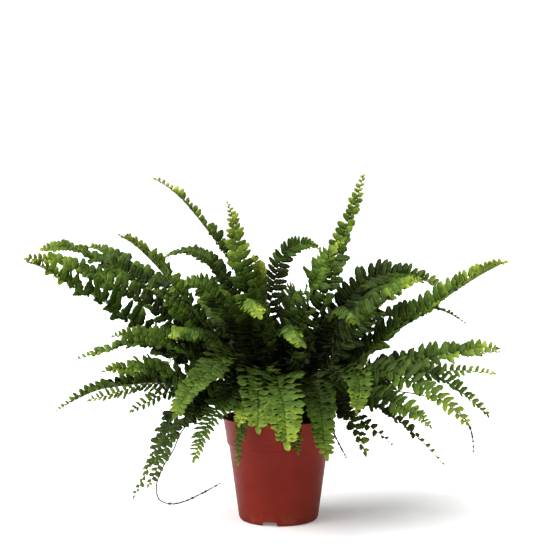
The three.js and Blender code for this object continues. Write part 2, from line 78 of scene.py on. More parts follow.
class Paint:
    # One material and its nodes. Its look holds each noise as scale, detail and roughness, each tint as
    # share and colour, each ramp as its stops, and its relief as strength and depth.
    def __init__(self, name, look):
        self.look = look
        self.material = bpy.data.materials.new(name)
        self.material.use_nodes = True
        self.tree = self.material.node_tree
        self.tree.nodes.clear()

    def node(self, kind, settings=None, sockets=None, output=0):
        made = self.tree.nodes.new("ShaderNode" + kind)
        for key, value in (settings or {}).items():
            setattr(made, key, value)
        for key, value in (sockets or {}).items():
            if isinstance(value, Wire):
                self.tree.links.new(value.socket, made.inputs[key])
            else:
                made.inputs[key].default_value = value
        return Wire(self, made.outputs[output])

    def mix(self, share, first, second):
        ends = [end if isinstance(end, Wire) else (*end, 1.0) for end in (first, second)]
        return self.node("Mix", {"data_type": "RGBA"}, {0: share, 6: ends[0], 7: ends[1]}, 2)

    def scaled(self, colour, factor):
        return self.node("VectorMath", {"operation": "SCALE"}, {0: colour, "Scale": factor})

    # A ramp of colours, read at a share from 0 to 1
    def shades(self, key, share):
        wire = self.node("ValToRGB", {}, {0: share})
        elements = wire.socket.node.color_ramp.elements
        stops = self.look[key]
        while len(elements) < len(stops):
            elements.new(0.5)
        for element, (place, colour) in zip(elements, stops):
            element.position = place
            element.color = (*colour, 1.0)
        return wire

    def part(self, vector, axis):
        return self.node("SeparateXYZ", {}, {0: vector}, axis)

    def attribute(self, name):
        return self.node("Attribute", {"attribute_name": name}, output=2)

    def place(self, stretch=(1.0, 1.0, 1.0)):
        coordinates = self.node("TexCoord", output=3)
        return self.node("Mapping", {}, {"Vector": coordinates, "Scale": stretch})

    def noise(self, key, stretch=(1.0, 1.0, 1.0)):
        numbers = dict(zip(("Scale", "Detail", "Roughness"), self.look[key]))
        return self.node("TexNoise", {}, {"Vector": self.place(stretch), **numbers})

    # Lays a tint over a colour where the mask is
    def layer(self, colour, mask, key):
        share, tint = self.look[key]
        return self.mix(mask * share, colour, tint)

    # What varies over the surface is linked to the shader, and the rest is set on its own sockets.
    def finish(self, colour, rough, height=None):
        shader = self.tree.nodes.new("ShaderNodeBsdfPrincipled")
        shader.inputs["Specular IOR Level"].default_value = self.look["gloss"]
        links = {"Base Color": colour, "Roughness": rough}
        if height:
            strength, depth = self.look["relief"]
            bump = {"Strength": strength, "Distance": depth, "Height": height}
            links["Normal"] = self.node("Bump", {}, bump)
        if "glow" in self.look:
            links["Emission Color"] = colour
            shader.inputs["Emission Strength"].default_value = self.look["glow"]
        for key, wire in links.items():
            self.tree.links.new(wire.socket, shader.inputs[key])
        output = self.tree.nodes.new("ShaderNodeOutputMaterial")
        self.tree.links.new(shader.outputs[0], output.inputs["Surface"])
        return self.material


# Leaflet colours run from the dark old leaves deep in the plant, darkened further there by painted shade,
# to the young tips.
leafLook = {
    "ages": [
        (0.0, (0.003, 0.006, 0.001)),
        (0.25, (0.017, 0.031, 0.003)),
        (0.5, (0.052, 0.098, 0.012)),
        (0.75, (0.160, 0.215, 0.026)),
        (1.0, (0.340, 0.375, 0.060)),
    ],
    "vein": (0.12, (0.180, 0.240, 0.050)),
    "midrib": (0.35, (0.180, 0.240, 0.050)),
    "margin": (0.30, (0.300, 0.340, 0.060)),
    "under": (0.40, (0.080, 0.110, 0.030)),
    "scorch": (0.7, (0.110, 0.055, 0.012)),
    "veins": 13.0,            # waves of the veins along a leaflet, and how they slant
    "veinSlant": 2.6,
    "blotch": (55.0, 3.0),
    "grain": (900.0, 2.0),
    "blotchAge": 0.34,        # how far a blotch, a grain or a leaflet's own tone shifts the green
    "grainAge": 0.08,
    "toneAge": 0.12,
    "roughness": 0.46,
    "gloss": 0.14,
    "relief": (0.6, 0.00035),
}


def leafMaterial():
    paint = Paint("fernLeaf", leafLook)
    ageAndShade = paint.attribute("ageAndShade")
    tone = paint.attribute("tone")
    under = paint.attribute("under")
    leafMap = paint.node("UVMap", {"uv_map": "leafMap"})
    along = paint.part(leafMap, 0)
    out = abs(paint.part(leafMap, 1) - 0.5) * 2.0
    blotch = paint.noise("blotch")
    grain = paint.noise("grain")

    vein = ((along * leafLook["veins"] - out * leafLook["veinSlant"]) * 2 * math.pi).sine() * 0.5 + 0.5
    line = vein ** 8.0
    midrib = 1.0 - out.ramp(0.02, 0.13)
    margin = out.ramp(0.72, 1.0)
    scorch = along.ramp(0.84, 1.0) * (blotch + tone * 0.2).ramp(0.62, 0.78)
    # Each leaflet's green is read at how old it is, together with its painted shade near the heart of the
    # plant and its painted light and shade from tip to foot and edge to edge.
    ripeAndShade = ageAndShade + (blotch - 0.5) * leafLook["blotchAge"] + tone * leafLook["toneAge"]
    ripeAndShade = ripeAndShade + (grain - 0.5) * leafLook["grainAge"] + margin * 0.05
    colour = paint.shades("ages", ripeAndShade)
    colour = paint.layer(colour, line, "vein")
    colour = paint.layer(colour, midrib, "midrib")
    colour = paint.layer(colour, margin * ageAndShade.ramp(0.1, 0.7), "margin")
    colour = paint.layer(colour, under * ageAndShade.ramp(0.0, 0.5), "under")
    colour = paint.layer(colour, scorch, "scorch")
    colour = paint.scaled(colour, 1.0 + tone * 0.25 + (blotch - 0.5) * 0.4)
    rough = leafLook["roughness"] + (blotch - 0.5) * 0.2 + under * 0.22 + line * 0.08
    side = 1.0 - under * 2.0  # the midrib is a groove above and a ridge below
    return paint.finish(colour, rough, vein * 0.35 + grain * 0.25 - midrib * side * 1.2)


# Stipes and midribs: brown and scaly at the soil, green further up
stemLook = {
    "ages": [
        (0.0, (0.022, 0.014, 0.006)),
        (0.3, (0.046, 0.050, 0.012)),
        (0.6, (0.100, 0.140, 0.026)),
        (1.0, (0.260, 0.310, 0.055)),
    ],
    "scurf": (0.75, (0.120, 0.062, 0.026)),
    "streak": (500.0, 3.0),
    "fleck": (800.0, 1.0),
    "roughness": 0.5,
    "gloss": 0.5,
    "relief": (0.7, 0.0003),
}


def stemMaterial():
    paint = Paint("fernStem", stemLook)
    ageAndShade = paint.attribute("ageAndShade")
    streak = paint.noise("streak", (1.0, 1.0, 0.25))
    fleck = paint.noise("fleck")
    scurf = fleck.ramp(0.58, 0.7) * (1.0 - ageAndShade.ramp(0.2, 0.75))
    colour = paint.shades("ages", ageAndShade + (streak - 0.5) * 0.3)
    colour = paint.layer(colour, scurf, "scurf")
    colour = paint.scaled(colour, 1.0 + paint.attribute("tone") * 0.2)
    rough = stemLook["roughness"] + scurf * 0.35 + (streak - 0.5) * 0.2
    return paint.finish(colour, rough, streak + scurf * 1.5)


potLook = {
    "red": (0.165, 0.011, 0.004),
    "faded": (0.195, 0.018, 0.007),
    "dull": (0.35, (0.112, 0.009, 0.004)),
    "scuffed": (0.22, (0.240, 0.120, 0.080)),
    "dusty": (0.35, (0.240, 0.120, 0.080)),
    "specks": (0.9, (0.020, 0.010, 0.008)),
    "fade": (14.0, 4.0),
    "mottle": (130.0, 4.0, 0.65),
    "grain": (1400.0, 2.0),
    "drawn": (420.0, 3.0),
    "scuff": (90.0, 5.0, 0.7),
    "speckScale": 95.0,
    "speckPatch": (31.0, 1.0),
    "dustTop": 0.02,          # dust clings below this height
    "roughness": 0.44,
    "gloss": 0.2,
    "relief": (0.5, 0.00025),
}


def potMaterial():
    paint = Paint("potPlastic", potLook)
    place = paint.place()
    fade = paint.noise("fade")
    mottle = paint.noise("mottle")
    grain = paint.noise("grain")
    drawn = paint.noise("drawn", (1.0, 1.0, 0.06))
    scuff = paint.noise("scuff", (0.35, 0.35, 2.2)).ramp(0.62, 0.78)
    cell = paint.node("TexVoronoi", {"feature": "F1"}, {"Vector": place, "Scale": potLook["speckScale"]})
    speck = (1.0 - cell.ramp(0.05, 0.11)) * paint.noise("speckPatch").ramp(0.66, 0.7)
    foot = 1.0 - paint.part(place, 2).ramp(0.002, potLook["dustTop"])

    colour = paint.mix(fade.ramp(0.35, 0.7), potLook["red"], potLook["faded"])
    colour = paint.layer(colour, mottle.ramp(0.45, 0.8), "dull")
    colour = paint.layer(colour, scuff, "scuffed")
    colour = paint.layer(colour, foot * mottle.ramp(0.4, 0.7), "dusty")
    colour = paint.layer(colour, speck, "specks")
    rough = potLook["roughness"] + (mottle - 0.5) * 0.25 + scuff * 0.2 + foot * 0.15
    return paint.finish(colour, rough, grain * 0.3 + drawn * 0.3 + scuff * 0.3)


soilLook = {
    "peat": [
        (0.0, (0.006, 0.004, 0.003)),
        (0.45, (0.019, 0.012, 0.007)),
        (0.75, (0.045, 0.028, 0.015)),
        (1.0, (0.110, 0.075, 0.042)),
    ],
    "fibres": (0.5, (0.110, 0.075, 0.042)),
    "clod": (160.0, 6.0, 0.7),
    "grit": (900.0, 3.0, 0.6),
    "fibre": (420.0, 2.0),
    "roughness": 0.82,
    "gloss": 0.3,
    "relief": (0.9, 0.0012),
}


def soilMaterial():
    paint = Paint("pottingSoil", soilLook)
    clod = paint.noise("clod")
    grit = paint.noise("grit")
    fibre = paint.noise("fibre", (3.0, 0.4, 1.0)).ramp(0.66, 0.72)
    colour = paint.shades("peat", clod * 0.7 + grit * 0.5 - 0.15)
    colour = paint.layer(colour, fibre, "fibres")
    rough = soilLook["roughness"] + (grit - 0.5) * 0.25
    return paint.finish(colour, rough, clod + grit * 0.5)


runnerLook = {
    "browns": [
        (0.0, (0.008, 0.006, 0.004)),
        (0.5, (0.022, 0.017, 0.010)),
        (1.0, (0.060, 0.052, 0.026)),
    ],
    "patch": (60.0, 4.0),
    "fleck": (1300.0, 2.0),
    "roughness": 0.62,
    "gloss": 0.5,
    "relief": (1.0, 0.0002),
}


def runnerMaterial():
    paint = Paint("wiryRunner", runnerLook)
    patch = paint.noise("patch")
    fleck = paint.noise("fleck")
    colour = paint.shades("browns", patch + (fleck - 0.5) * 0.7)
    rough = runnerLook["roughness"] + (fleck - 0.5) * 0.3
    return paint.finish(colour, rough, fleck)


floorLook = {
    "pale": (0.90, 0.90, 0.90),
    "paler": (0.93, 0.93, 0.93),
    "sweep": (3.0, 3.0),
    "roughness": 0.7,
    "gloss": 0.1,
    "glow": 0.2,
}


def floorMaterial():
    paint = Paint("studioFloor", floorLook)
    sweep = paint.noise("sweep")
    colour = paint.mix(sweep, floorLook["pale"], floorLook["paler"])
    return paint.finish(colour, floorLook["roughness"] + (sweep - 0.5) * 0.1)


leafPaint = leafMaterial()
stemPaint = stemMaterial()
potPaint = potMaterial()
soilPaint = soilMaterial()
runnerPaint = runnerMaterial()
print("materials made:", len(bpy.data.materials))


# How the fronds lie

# A frond's row, with its lengths in millimetres: where its tip is, how far its middle stands above the
# straight line to the tip (arch), the length of its longest leaflets (half), how far its middle stands
# to the right (bow) and how much the tip hooks over (hook). The rest are how many degrees its face
# turns to the front (turn), how far towards the tip the bend sits (skew), how many degrees its
# leaflets fold up (fold, below 0 they hang), and how young its green is, from 0 to 1 (young, below 0
# it is old and dark).
def frond(x, y, z, arch, half, bow=0, hook=0, turn=0, skew=0, **rest):
    lengths = {"arch": arch / 1000, "half": half / 1000, "bow": bow / 1000, "hook": hook / 1000}
    return {"tip": (x / 1000, y / 1000, z / 1000), "turn": turn, "skew": skew, **lengths, **rest}


fronds = [
    # upright, in the middle
    frond(-134, 40, 367, arch=32, half=12, turn=20, skew=0.05, bow=10, fold=45, young=0.35),
    frond(-54, -5, 339, arch=1, half=20, turn=75, skew=0.1, bow=3, young=0.45),
    frond(-23, -15, 279, arch=0, half=13, turn=70, skew=0.15, bow=3, young=1),
    frond(46, 70, 289, arch=34, half=15, turn=55, bow=-20, hook=80),
    frond(92, 20, 368, arch=0, half=16, turn=50, fold=25, young=0.35),
    frond(65, -40, 299, arch=10, half=23, turn=65, skew=0.2, bow=12, young=0.5),
    frond(-60, -30, 245, arch=10, half=19, turn=55, skew=0.2),
    frond(-19, -130, 230, arch=38, half=18, skew=0.5, bow=20, fold=-25, young=0.15),
    # left, high
    frond(-262, 50, 291, arch=38, half=14, turn=40, skew=0.2, young=0.35),
    frond(-219, 110, 291, arch=29, half=14, turn=30, skew=0.15, young=0.25),
    frond(-266, -10, 281, arch=34, half=15, turn=45, skew=0.1, young=0.4),
    frond(-249, -70, 277, arch=10, half=19, turn=50, skew=0.15, fold=32, young=0.35),
    frond(-161, -30, 303, arch=7, half=18, turn=20, skew=0.2, fold=40, young=0.35),
    frond(-134, 70, 277, arch=52, half=13, turn=30, skew=0.42, young=0.55),
    frond(-117, 10, 245, arch=36, half=20, turn=40, skew=0.45, young=0.25),
    # left, low
    frond(-111, -60, 203, arch=30, half=18, turn=25, skew=0.35, bow=-5, fold=-15, young=0.15),
    frond(-166, -80, 206, arch=20, half=20, turn=45, skew=0.1, bow=-10, young=0.45),
    frond(-220, 20, 168, arch=46, half=17, turn=30, skew=0.05),
    frond(-170, -120, 173, arch=15, half=21, turn=40, skew=0.1, bow=-10, young=0.45),
    frond(-239, 0, 117, arch=36, half=16, turn=35, fold=60, young=0.2),
    frond(-213, 70, 118, arch=30, half=17, turn=60, skew=-0.15, bow=7),
    frond(-150, -60, 126, arch=30, half=15, turn=50, bow=-7),
    frond(-148, -40, 31, arch=66, half=16, turn=25, skew=0.06, young=-0.6),
    frond(-126, -110, 59, arch=54, half=16, turn=20, young=-0.7),
    # front
    frond(-78, -175, 99, arch=58, half=20, turn=10, bow=-12, young=0.1),
    frond(-94, -180, 140, arch=58, half=21, turn=15, skew=0.1, bow=-13),
    frond(-37, -160, 130, arch=34, half=13, skew=0.2, bow=-7),
    frond(-17, -185, 131, arch=52, half=24, skew=0.15, bow=2),
    frond(6, -205, 118, arch=58, half=26, skew=0.15, bow=8),
    frond(18, -120, 96, arch=39, half=12, bow=5),
    frond(46, -155, 99, arch=61, half=20, turn=5, skew=0.1),
    frond(72, -190, 144, arch=45, half=17, turn=10, skew=0.3, bow=-14),
    frond(-42, -80, 76, arch=36, half=9),
    frond(75, -120, 222, arch=35, half=17, turn=5, skew=0.5, fold=-30, young=0.1),
    frond(22, -160, 202, arch=41, half=16, skew=0.4, bow=10, fold=-30),
    # right
    frond(188, 60, 240, arch=69, half=19, turn=45, skew=0.28, fold=30),
    frond(148, -20, 258, arch=14, half=20, turn=40, skew=0.2, young=0.2),
    frond(231, -30, 277, arch=18, half=22, turn=35, hook=-25, fold=30, young=0.56),
    frond(209, 60, 206, arch=53, half=14, turn=20, skew=0.25),
    frond(222, -60, 189, arch=16, half=17, turn=55, skew=0.12, young=0.45),
    frond(236, 30, 152, arch=14, half=13, turn=50, young=0.3),
    frond(225, 10, 110, arch=59, half=18, turn=35),
    frond(186, -100, 118, arch=55, half=22, turn=35, bow=9, young=0.25),
    frond(179, 20, 59, arch=46, half=14, turn=30, skew=-0.25),
    frond(146, -130, 119, arch=31, half=18, turn=45, skew=0.15),
    frond(118, -30, 83, arch=26, half=13, turn=30, skew=-0.3),
    frond(88, -70, 84, arch=33, half=13, turn=20, skew=-0.1, young=0.3),
    # back
    frond(-88, 110, 230, arch=14, half=22, turn=50),
    frond(-136, -20, 249, arch=14, half=18, turn=40, skew=0.1, young=0.3),
    frond(165, 110, 250, arch=45, half=20, turn=40, skew=0.2),
    frond(-132, 170, 150, arch=48, half=17),
    frond(262, 135, 165, arch=26, half=18, turn=35, skew=0.05),
    frond(60, 207, 150, arch=52, half=20),
    frond(150, 140, 95, arch=36, half=21, turn=50),
    frond(18, 150, 238, arch=26, half=24, turn=40),
]

crown = {
    "soilMiddle": 0.101,
    "soilShoulder": 0.0975,
    "shoulderRadius": 0.040,
    "rootLift": 0.003,
    "rootGap": 0.0056,        # the least between two roots, which is reached in so many rounds
    "rootRounds": 200,
    "rootPush": 0.25,
    "rootInner": 0.005,       # where the steepest and the lowest fronds stand
    "rootOuter": 0.034,
    "steepest": 75,           # degrees up to the tip, and the lowest as a share of that
    "lowest": -0.25,
    "bareShare": 0.2,         # of a frond's line, up to the solids' first leaflets
    "stipeWidth": 0.0021,
}

# How the fronds are bent clear of each other, as the solids are
bending = {
    "rounds": 90,
    "stations": 14,
    "stationShare": 0.6,      # an ellipsoid's reach along its frond, as a share of their spacing
    "reach": 0.044,           # those further apart than this never meet
    "step": 0.0025,           # the furthest a station is pushed in one round
    "thickness": 0.0024,
    "gain": 2.0,
    "slack": [(0.7, 1.2, 0.8), (0.7, 1.2, 0.8), (0.35, 1.2, 0.4)],   # x, y and z of each control point
    "ballast": 0.3,
    "comeBack": 0.02,         # how much of each bend is taken back in a round
}

# How long the leaflets are along the blade, as shares of the longest and of the way up the blade
blade = {"foot": 0.6, "fullest": 0.35, "tipLoss": 0.85, "tipFall": 1.7}


def unit(v):
    return v / np.linalg.norm(v, axis=-1, keepdims=True)


def dot(a, b):
    return (a * b).sum(-1, keepdims=True)


def soilTop(radius):
    fall = crown["soilShoulder"] - crown["soilMiddle"]
    return crown["soilMiddle"] + fall * radius / crown["shoulderRadius"]


# The lower a tip, the further out its frond leaves the crown, and no two roots are too close.
def spreadRoots(tips):
    out = np.hypot(tips[:, 0], tips[:, 1])
    rise = np.arctan2(tips[:, 2] - crown["soilMiddle"], out) / math.radians(crown["steepest"])
    share = (1 - rise.clip(crown["lowest"], 1)) / (1 - crown["lowest"])
    radius = crown["rootInner"] + (crown["rootOuter"] - crown["rootInner"]) * share
    places = tips[:, :2] * (radius / out)[:, None]
    for _ in range(crown["rootRounds"]):
        apart = places[:, None] - places
        distance = np.linalg.norm(apart, axis=2)
        near = (distance < crown["rootGap"]) & ~np.eye(len(places), dtype=bool)
        push = near * crown["rootPush"] * (crown["rootGap"] - distance) / distance.clip(0.0001)
        places = places + (apart * push[:, :, None]).sum(1)
    return np.column_stack([places, soilTop(np.hypot(*places.T)) + crown["rootLift"]])


# A frond's line is a cubic curve from its root to its tip, kept as its four control points.
def layFronds():
    tips = np.array([row["tip"] for row in fronds], float)
    roots = spreadRoots(tips)
    keys = ("arch", "skew", "bow", "hook")
    arch, skew, bow, hook = (np.array([[row[key]] for row in fronds]) for key in keys)
    chord = tips - roots
    along = unit(chord)
    lift = unit(up - along * along[:, 2:].clip(0))
    sideways = unit(np.column_stack([chord[:, 1], -chord[:, 0], 0 * chord[:, 0]]))
    bend = roots + chord * (0.5 + skew) + lift * 2 * arch + sideways * 2 * bow
    points = np.stack([roots, roots + (bend - roots) * 2 / 3, tips + (bend - tips) * 2 / 3, tips], 1)
    points[:, 2, 2] += hook[:, 0]
    return points, sideways


# Along each line at the shares u: the place, and the ways ahead, to the right and over it
def stations(points, sideways, turn, u):
    u = np.asarray(u, float)
    weights = np.stack([(1 - u) ** 3, 3 * u * (1 - u) ** 2, 3 * u * u * (1 - u), u ** 3], 1)
    slopes = np.stack([
        -3 * (1 - u) ** 2,
        3 * (1 - u) ** 2 - 6 * u * (1 - u),
        6 * u * (1 - u) - 3 * u * u,
        3 * u * u,
    ], 1)
    ahead = unit(slopes @ points)
    side = np.broadcast_to(sideways[:, None], ahead.shape)
    side = unit(side - dot(side, ahead) * ahead)
    side = side * np.cos(turn) + np.cross(ahead, side) * np.sin(turn)
    return weights @ points, ahead, side, np.cross(side, ahead)


# The share of the blade at a share u of the frond, below 0 on its bare stipe
def bladePlace(u):
    return (u - crown["bareShare"]) / (1 - crown["bareShare"])


# How far a share v of the blade is past its fullest place, from 0 there to 1 at the tip
def pastFullest(v):
    return ((v - blade["fullest"]) / (1 - blade["fullest"])).clip(0, 1)


# The solids' leaflet length at a share v of the blade
def leafLength(half, v):
    foot = blade["foot"] + (1 - blade["foot"]) * np.sin((v / blade["fullest"]).clip(0, 1) * math.pi / 2)
    return half * foot * (1 - blade["tipLoss"] * pastFullest(v) ** blade["tipFall"])


def axisForm(way, size):
    return way[..., :, None] * way[..., None, :] * np.asarray(size)[..., None, None] ** 2


# Each station is an ellipsoid round its leaflets. Where those of two fronds meet, both are pushed
# apart, the way that clears them soonest.
def bendClear(points, sideways, turn, half):
    count = bending["stations"]
    u = (np.arange(count) + 1.5) / (count + 0.5)
    v = bladePlace(u)
    wide = np.where(v > 0, leafLength(half[:, None], v), crown["stipeWidth"])
    thick = np.broadcast_to(np.where(v > 0, bending["thickness"], crown["stipeWidth"]), wide.shape)
    weights = np.stack([3 * u * (1 - u) ** 2, 3 * u * u * (1 - u), u ** 3], 1)
    owner = np.repeat(np.arange(len(points)), count)
    first, second = np.nonzero(owner[:, None] < owner)
    rest = points.copy()
    slack = np.array(bending["slack"])
    for _ in range(bending["rounds"]):
        at, ahead, side, over = stations(points, sideways, turn, u)
        long = bending["stationShare"] * np.linalg.norm(points[:, 3] - points[:, 0], axis=1) / count
        form = axisForm(side, wide) + axisForm(over, thick)
        form += axisForm(ahead, np.broadcast_to(long[:, None], wide.shape))
        at = at.reshape(-1, 3)
        form = form.reshape(-1, 3, 3)
        apart = at[first] - at[second]
        near = (apart ** 2).sum(1) <= bending["reach"] ** 2
        a, b, apart = first[near], second[near], apart[near]
        slope = np.linalg.solve(form[a] + form[b], apart[:, :, None])[:, :, 0]
        depth = 2 - dot(apart, slope)
        meets = depth[:, 0] > 0
        a, b, slope, depth = a[meets], b[meets], slope[meets], depth[meets]
        steep = np.linalg.norm(slope, axis=1, keepdims=True).clip(1e-9)
        push = slope / steep * np.minimum(depth / (2 * steep), bending["step"]) / 2
        sums = np.zeros_like(at)
        np.add.at(sums, a, push)
        np.add.at(sums, b, -push)
        met = np.bincount(a, minlength=len(at)) + np.bincount(b, minlength=len(at))
        pull = np.einsum("kw,fkc->fwc", weights, sums.reshape(-1, count, 3))
        weight = bending["ballast"] + met.reshape(-1, count) @ weights
        moved = points[:, 1:] + pull * bending["gain"] / weight[:, :, None] * slack
        points = points.copy()
        points[:, 1:] = moved + (rest[:, 1:] - moved) * bending["comeBack"]
    return points


turns = np.array([math.radians(row["turn"]) * np.sign(row["tip"][0]) for row in fronds])
halves = np.array([row["half"] for row in fronds])
lines, sideways = layFronds()
lines = bendClear(lines, sideways, turns[:, None, None], halves)
print("frond lines laid:", len(lines))


def show(thing):
    bpy.context.scene.collection.objects.link(thing)


def meshFrom(bm, name):
    mesh = bpy.data.meshes.new(name)
    bm.to_mesh(mesh)
    bm.free()
    return mesh


# Blanks: a tube made once, which is then bent to each leaflet, stem, scale and runner
def makeBlank(name, sides, rings, pointed, slot):
    bm = bmesh.new()
    bmesh.ops.create_cone(bm, cap_ends=True, segments=sides, radius1=1, radius2=1, depth=1)
    long = [e for e in bm.edges if abs(e.verts[0].co.z - e.verts[1].co.z) > 0.5]
    bmesh.ops.subdivide_edges(bm, edges=long, cuts=rings - 1)
    nearTop = 0.4999
    if pointed:
        end = [v for v in bm.verts if v.co.z > nearTop]
        bmesh.ops.pointmerge(bm, verts=end, merge_co=(0, 0, 0.5))
    leafMap = bm.loops.layers.uv.new("leafMap")
    for face in bm.faces:
        face.smooth = True
        face.material_index = slot
        for loop in face.loops:
            loop[leafMap].uv = (loop.vert.co.z + 0.5, 0.5 + 0.5 * loop.vert.co.x)
    for edge in bm.edges:
        flat = all(abs(abs(v.co.x) - 1) < 1e-4 or v.co.z > nearTop for v in edge.verts)
        edge.smooth = not (pointed and flat)
    bmesh.ops.recalc_face_normals(bm, faces=bm.faces)
    mesh = meshFrom(bm, name)
    spots = np.array([v.co for v in mesh.vertices])
    spots[abs(spots) < 1e-6] = 0
    return {"mesh": mesh, "along": spots[:, 2] + 0.5, "across": spots[:, 0], "up": spots[:, 1]}


leafBlank = makeBlank("leafBlank", 8, 9, True, 0)
budBlank = makeBlank("budBlank", 6, 5, True, 0)
scaleBlank = makeBlank("scaleBlank", 4, 2, True, 1)
stemBlank = makeBlank("stemBlank", 8, 44, False, 1)


# Joins copies of blanks into one mesh and puts their points where the arrays say.
def joinBlanks(name, batches, paints):
    bm = bmesh.new()
    for blank, points, _ in batches:
        for _ in range(len(points)):
            bm.from_mesh(blank["mesh"])
    mesh = meshFrom(bm, name)
    places = np.concatenate([points.reshape(-1, 3) for _, points, _ in batches])
    mesh.vertices.foreach_set("co", places.astype(np.float32).ravel())
    for key in batches[0][2]:
        values = [np.broadcast_to(marks[key], points.shape[:2]).ravel() for _, points, marks in batches]
        layer = mesh.attributes.new(key, "FLOAT", "POINT")
        layer.data.foreach_set("value", np.concatenate(values).astype(np.float32))
    mesh.update()
    for paint in paints:
        mesh.materials.append(paint)
    return bpy.data.objects.new(name, mesh)


def addPiece(piece, node):
    show(piece)
    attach(piece, "root")
    if node:
        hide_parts(node)


# Points at x, y and z along the ways out, forward and face from each place
def setOut(at, ways, x, y, z):
    out, forward, face = (way[:, None] for way in ways)
    return at[:, None] + x[..., None] * out + y[..., None] * forward + z[..., None] * face


# A way out from a stem, at any angle round it
def anyWayOut(side, over, rng):
    angle = rng.uniform(0, 2 * math.pi, len(side))[:, None]
    return side * np.cos(angle) + over * np.sin(angle)


# Leaflets

leaflet = {
    "bareShare": 0.05,        # the foot of a frond that has no leaflets
    "spacing": 0.0076,        # between pairs, along the midrib
    "crowding": 0.36,         # how much closer they stand at the tip
    "firstPair": 0.35,        # where the first stand, as a share of the spacing
    "stagger": 0.5,           # how far the left ones are past the right ones
    "jitter": 0.06,           # how unevenly they stand
    "breadth": 1.35,          # of the spacing
    "breadthSpread": 0.07,
    "slimmest": 0.30,         # breadth as a share of the length
    "stoutest": 0.58,
    "tipStoutest": 0.85,
    "tipShare": 0.20,         # length of the last leaflets, as a share of the longest
    "tipFall": 1.6,           # how late they shorten towards the tip
    "lastShare": 1.1,         # the one that ends the frond, as a share of its neighbours
    "fullness": 1.05,         # leaflet length, as a share of the solids'
    "footPlaces": (-0.19, 0, 0.2, 0.36),      # how they shorten towards the blade's foot
    "footShares": (0.6, 0.85, 0.96, 1.0),
    "sizeSpread": 0.09,
    "sizeRange": (0.7, 1.3),
    "thickness": 0.00034,
    "narrowFoot": 0.36,       # how much of its width a leaflet loses at its foot
    "taper": 0.36,            # how much slimmer the outer half is
    "taperSpread": 0.05,
    "auricle": 0.34,          # the ear on the forward side of the foot
    "earPlace": 0.11,
    "earReach": 0.09,
    "tooth": 0.08,
    "teeth": 9,
    "sickle": 0.08,           # how far the tip bends forward
    "sweep": 18.0,            # degrees forward, up and round the leaflet's own midrib
    "sweepSpread": 6.0,
    "fold": 12.0,
    "foldSpread": 7.0,
    "foldRise": 22.0,         # how much steeper they fold up at the frond's tip
    "pitch": 6.0,
    "pitchSpread": 6.0,
    "droop": 0.20,
    "cup": 0.12,
    "wave": 0.15,             # how deep the ripples along the edges are, and how many
    "waves": (0.9, 2.3),
    "twist": 0.25,
    "groove": 0.00035,
    "lift": 0.0004,           # how far above the middle of the midrib they start
    "toneSpread": 0.34,
    "ageSpread": 0.04,
    "tipLightAndShade": 0.12,          # painted light and shade: how much lighter a leaflet's tip and forward edge are, and darker its foot and rear edge
    "edgeLightAndShade": 0.09,
    "young": 0.0,
    "darkening": 0.0,              # how much darker the whole frond is, below 0 it is paler
    "buds": 0.0070,           # leaflets shorter than this are made from the smaller blank
}

# Fronds that differ from the rest, by their number: only what differs is given.
tidy = dict(pitchSpread=4.0, foldSpread=4.0, sweepSpread=4.0, sizeSpread=0.05)
ladder = dict(
    tidy, spacing=0.0072, breadth=0.72, slimmest=0.26, taper=0.12, tipShare=0.35, pitch=16.0, darkening=-0.05)
dense = dict(tidy, spacing=0.0052, breadth=1.3, taper=0.30)
full = dict(dense, breadth=1.6, slimmest=0.32, tipShare=0.4)
plume = dict(dense, breadth=1.7, slimmest=0.34, tipShare=0.5, foldRise=0.0)
fine = dict(dense, spacing=0.0042, breadth=1.4, tipShare=0.6, foldRise=0.0)
# The ruffled front fronds are darkened a little as painted shade.
ruffled = dict(
    plume, spacing=0.0056, breadth=2.0, slimmest=0.27, stoutest=0.56, tipStoutest=0.62, taper=0.16,
    twist=0.12, fold=14.0, droop=0.08, pitch=3.0, sweep=8.0, wave=0.2, toneSpread=0.18, darkening=0.03)
hanging = dict(
    spacing=0.0064, breadth=1.3, stoutest=0.66, taper=0.18, tipShare=0.36, foldRise=0.0, fullness=0.88)
scalloped = dict(
    spacing=0.0084, breadth=1.1, stoutest=0.75, taper=0.20, foldRise=20.0, crowding=0.2, tipShare=0.42)
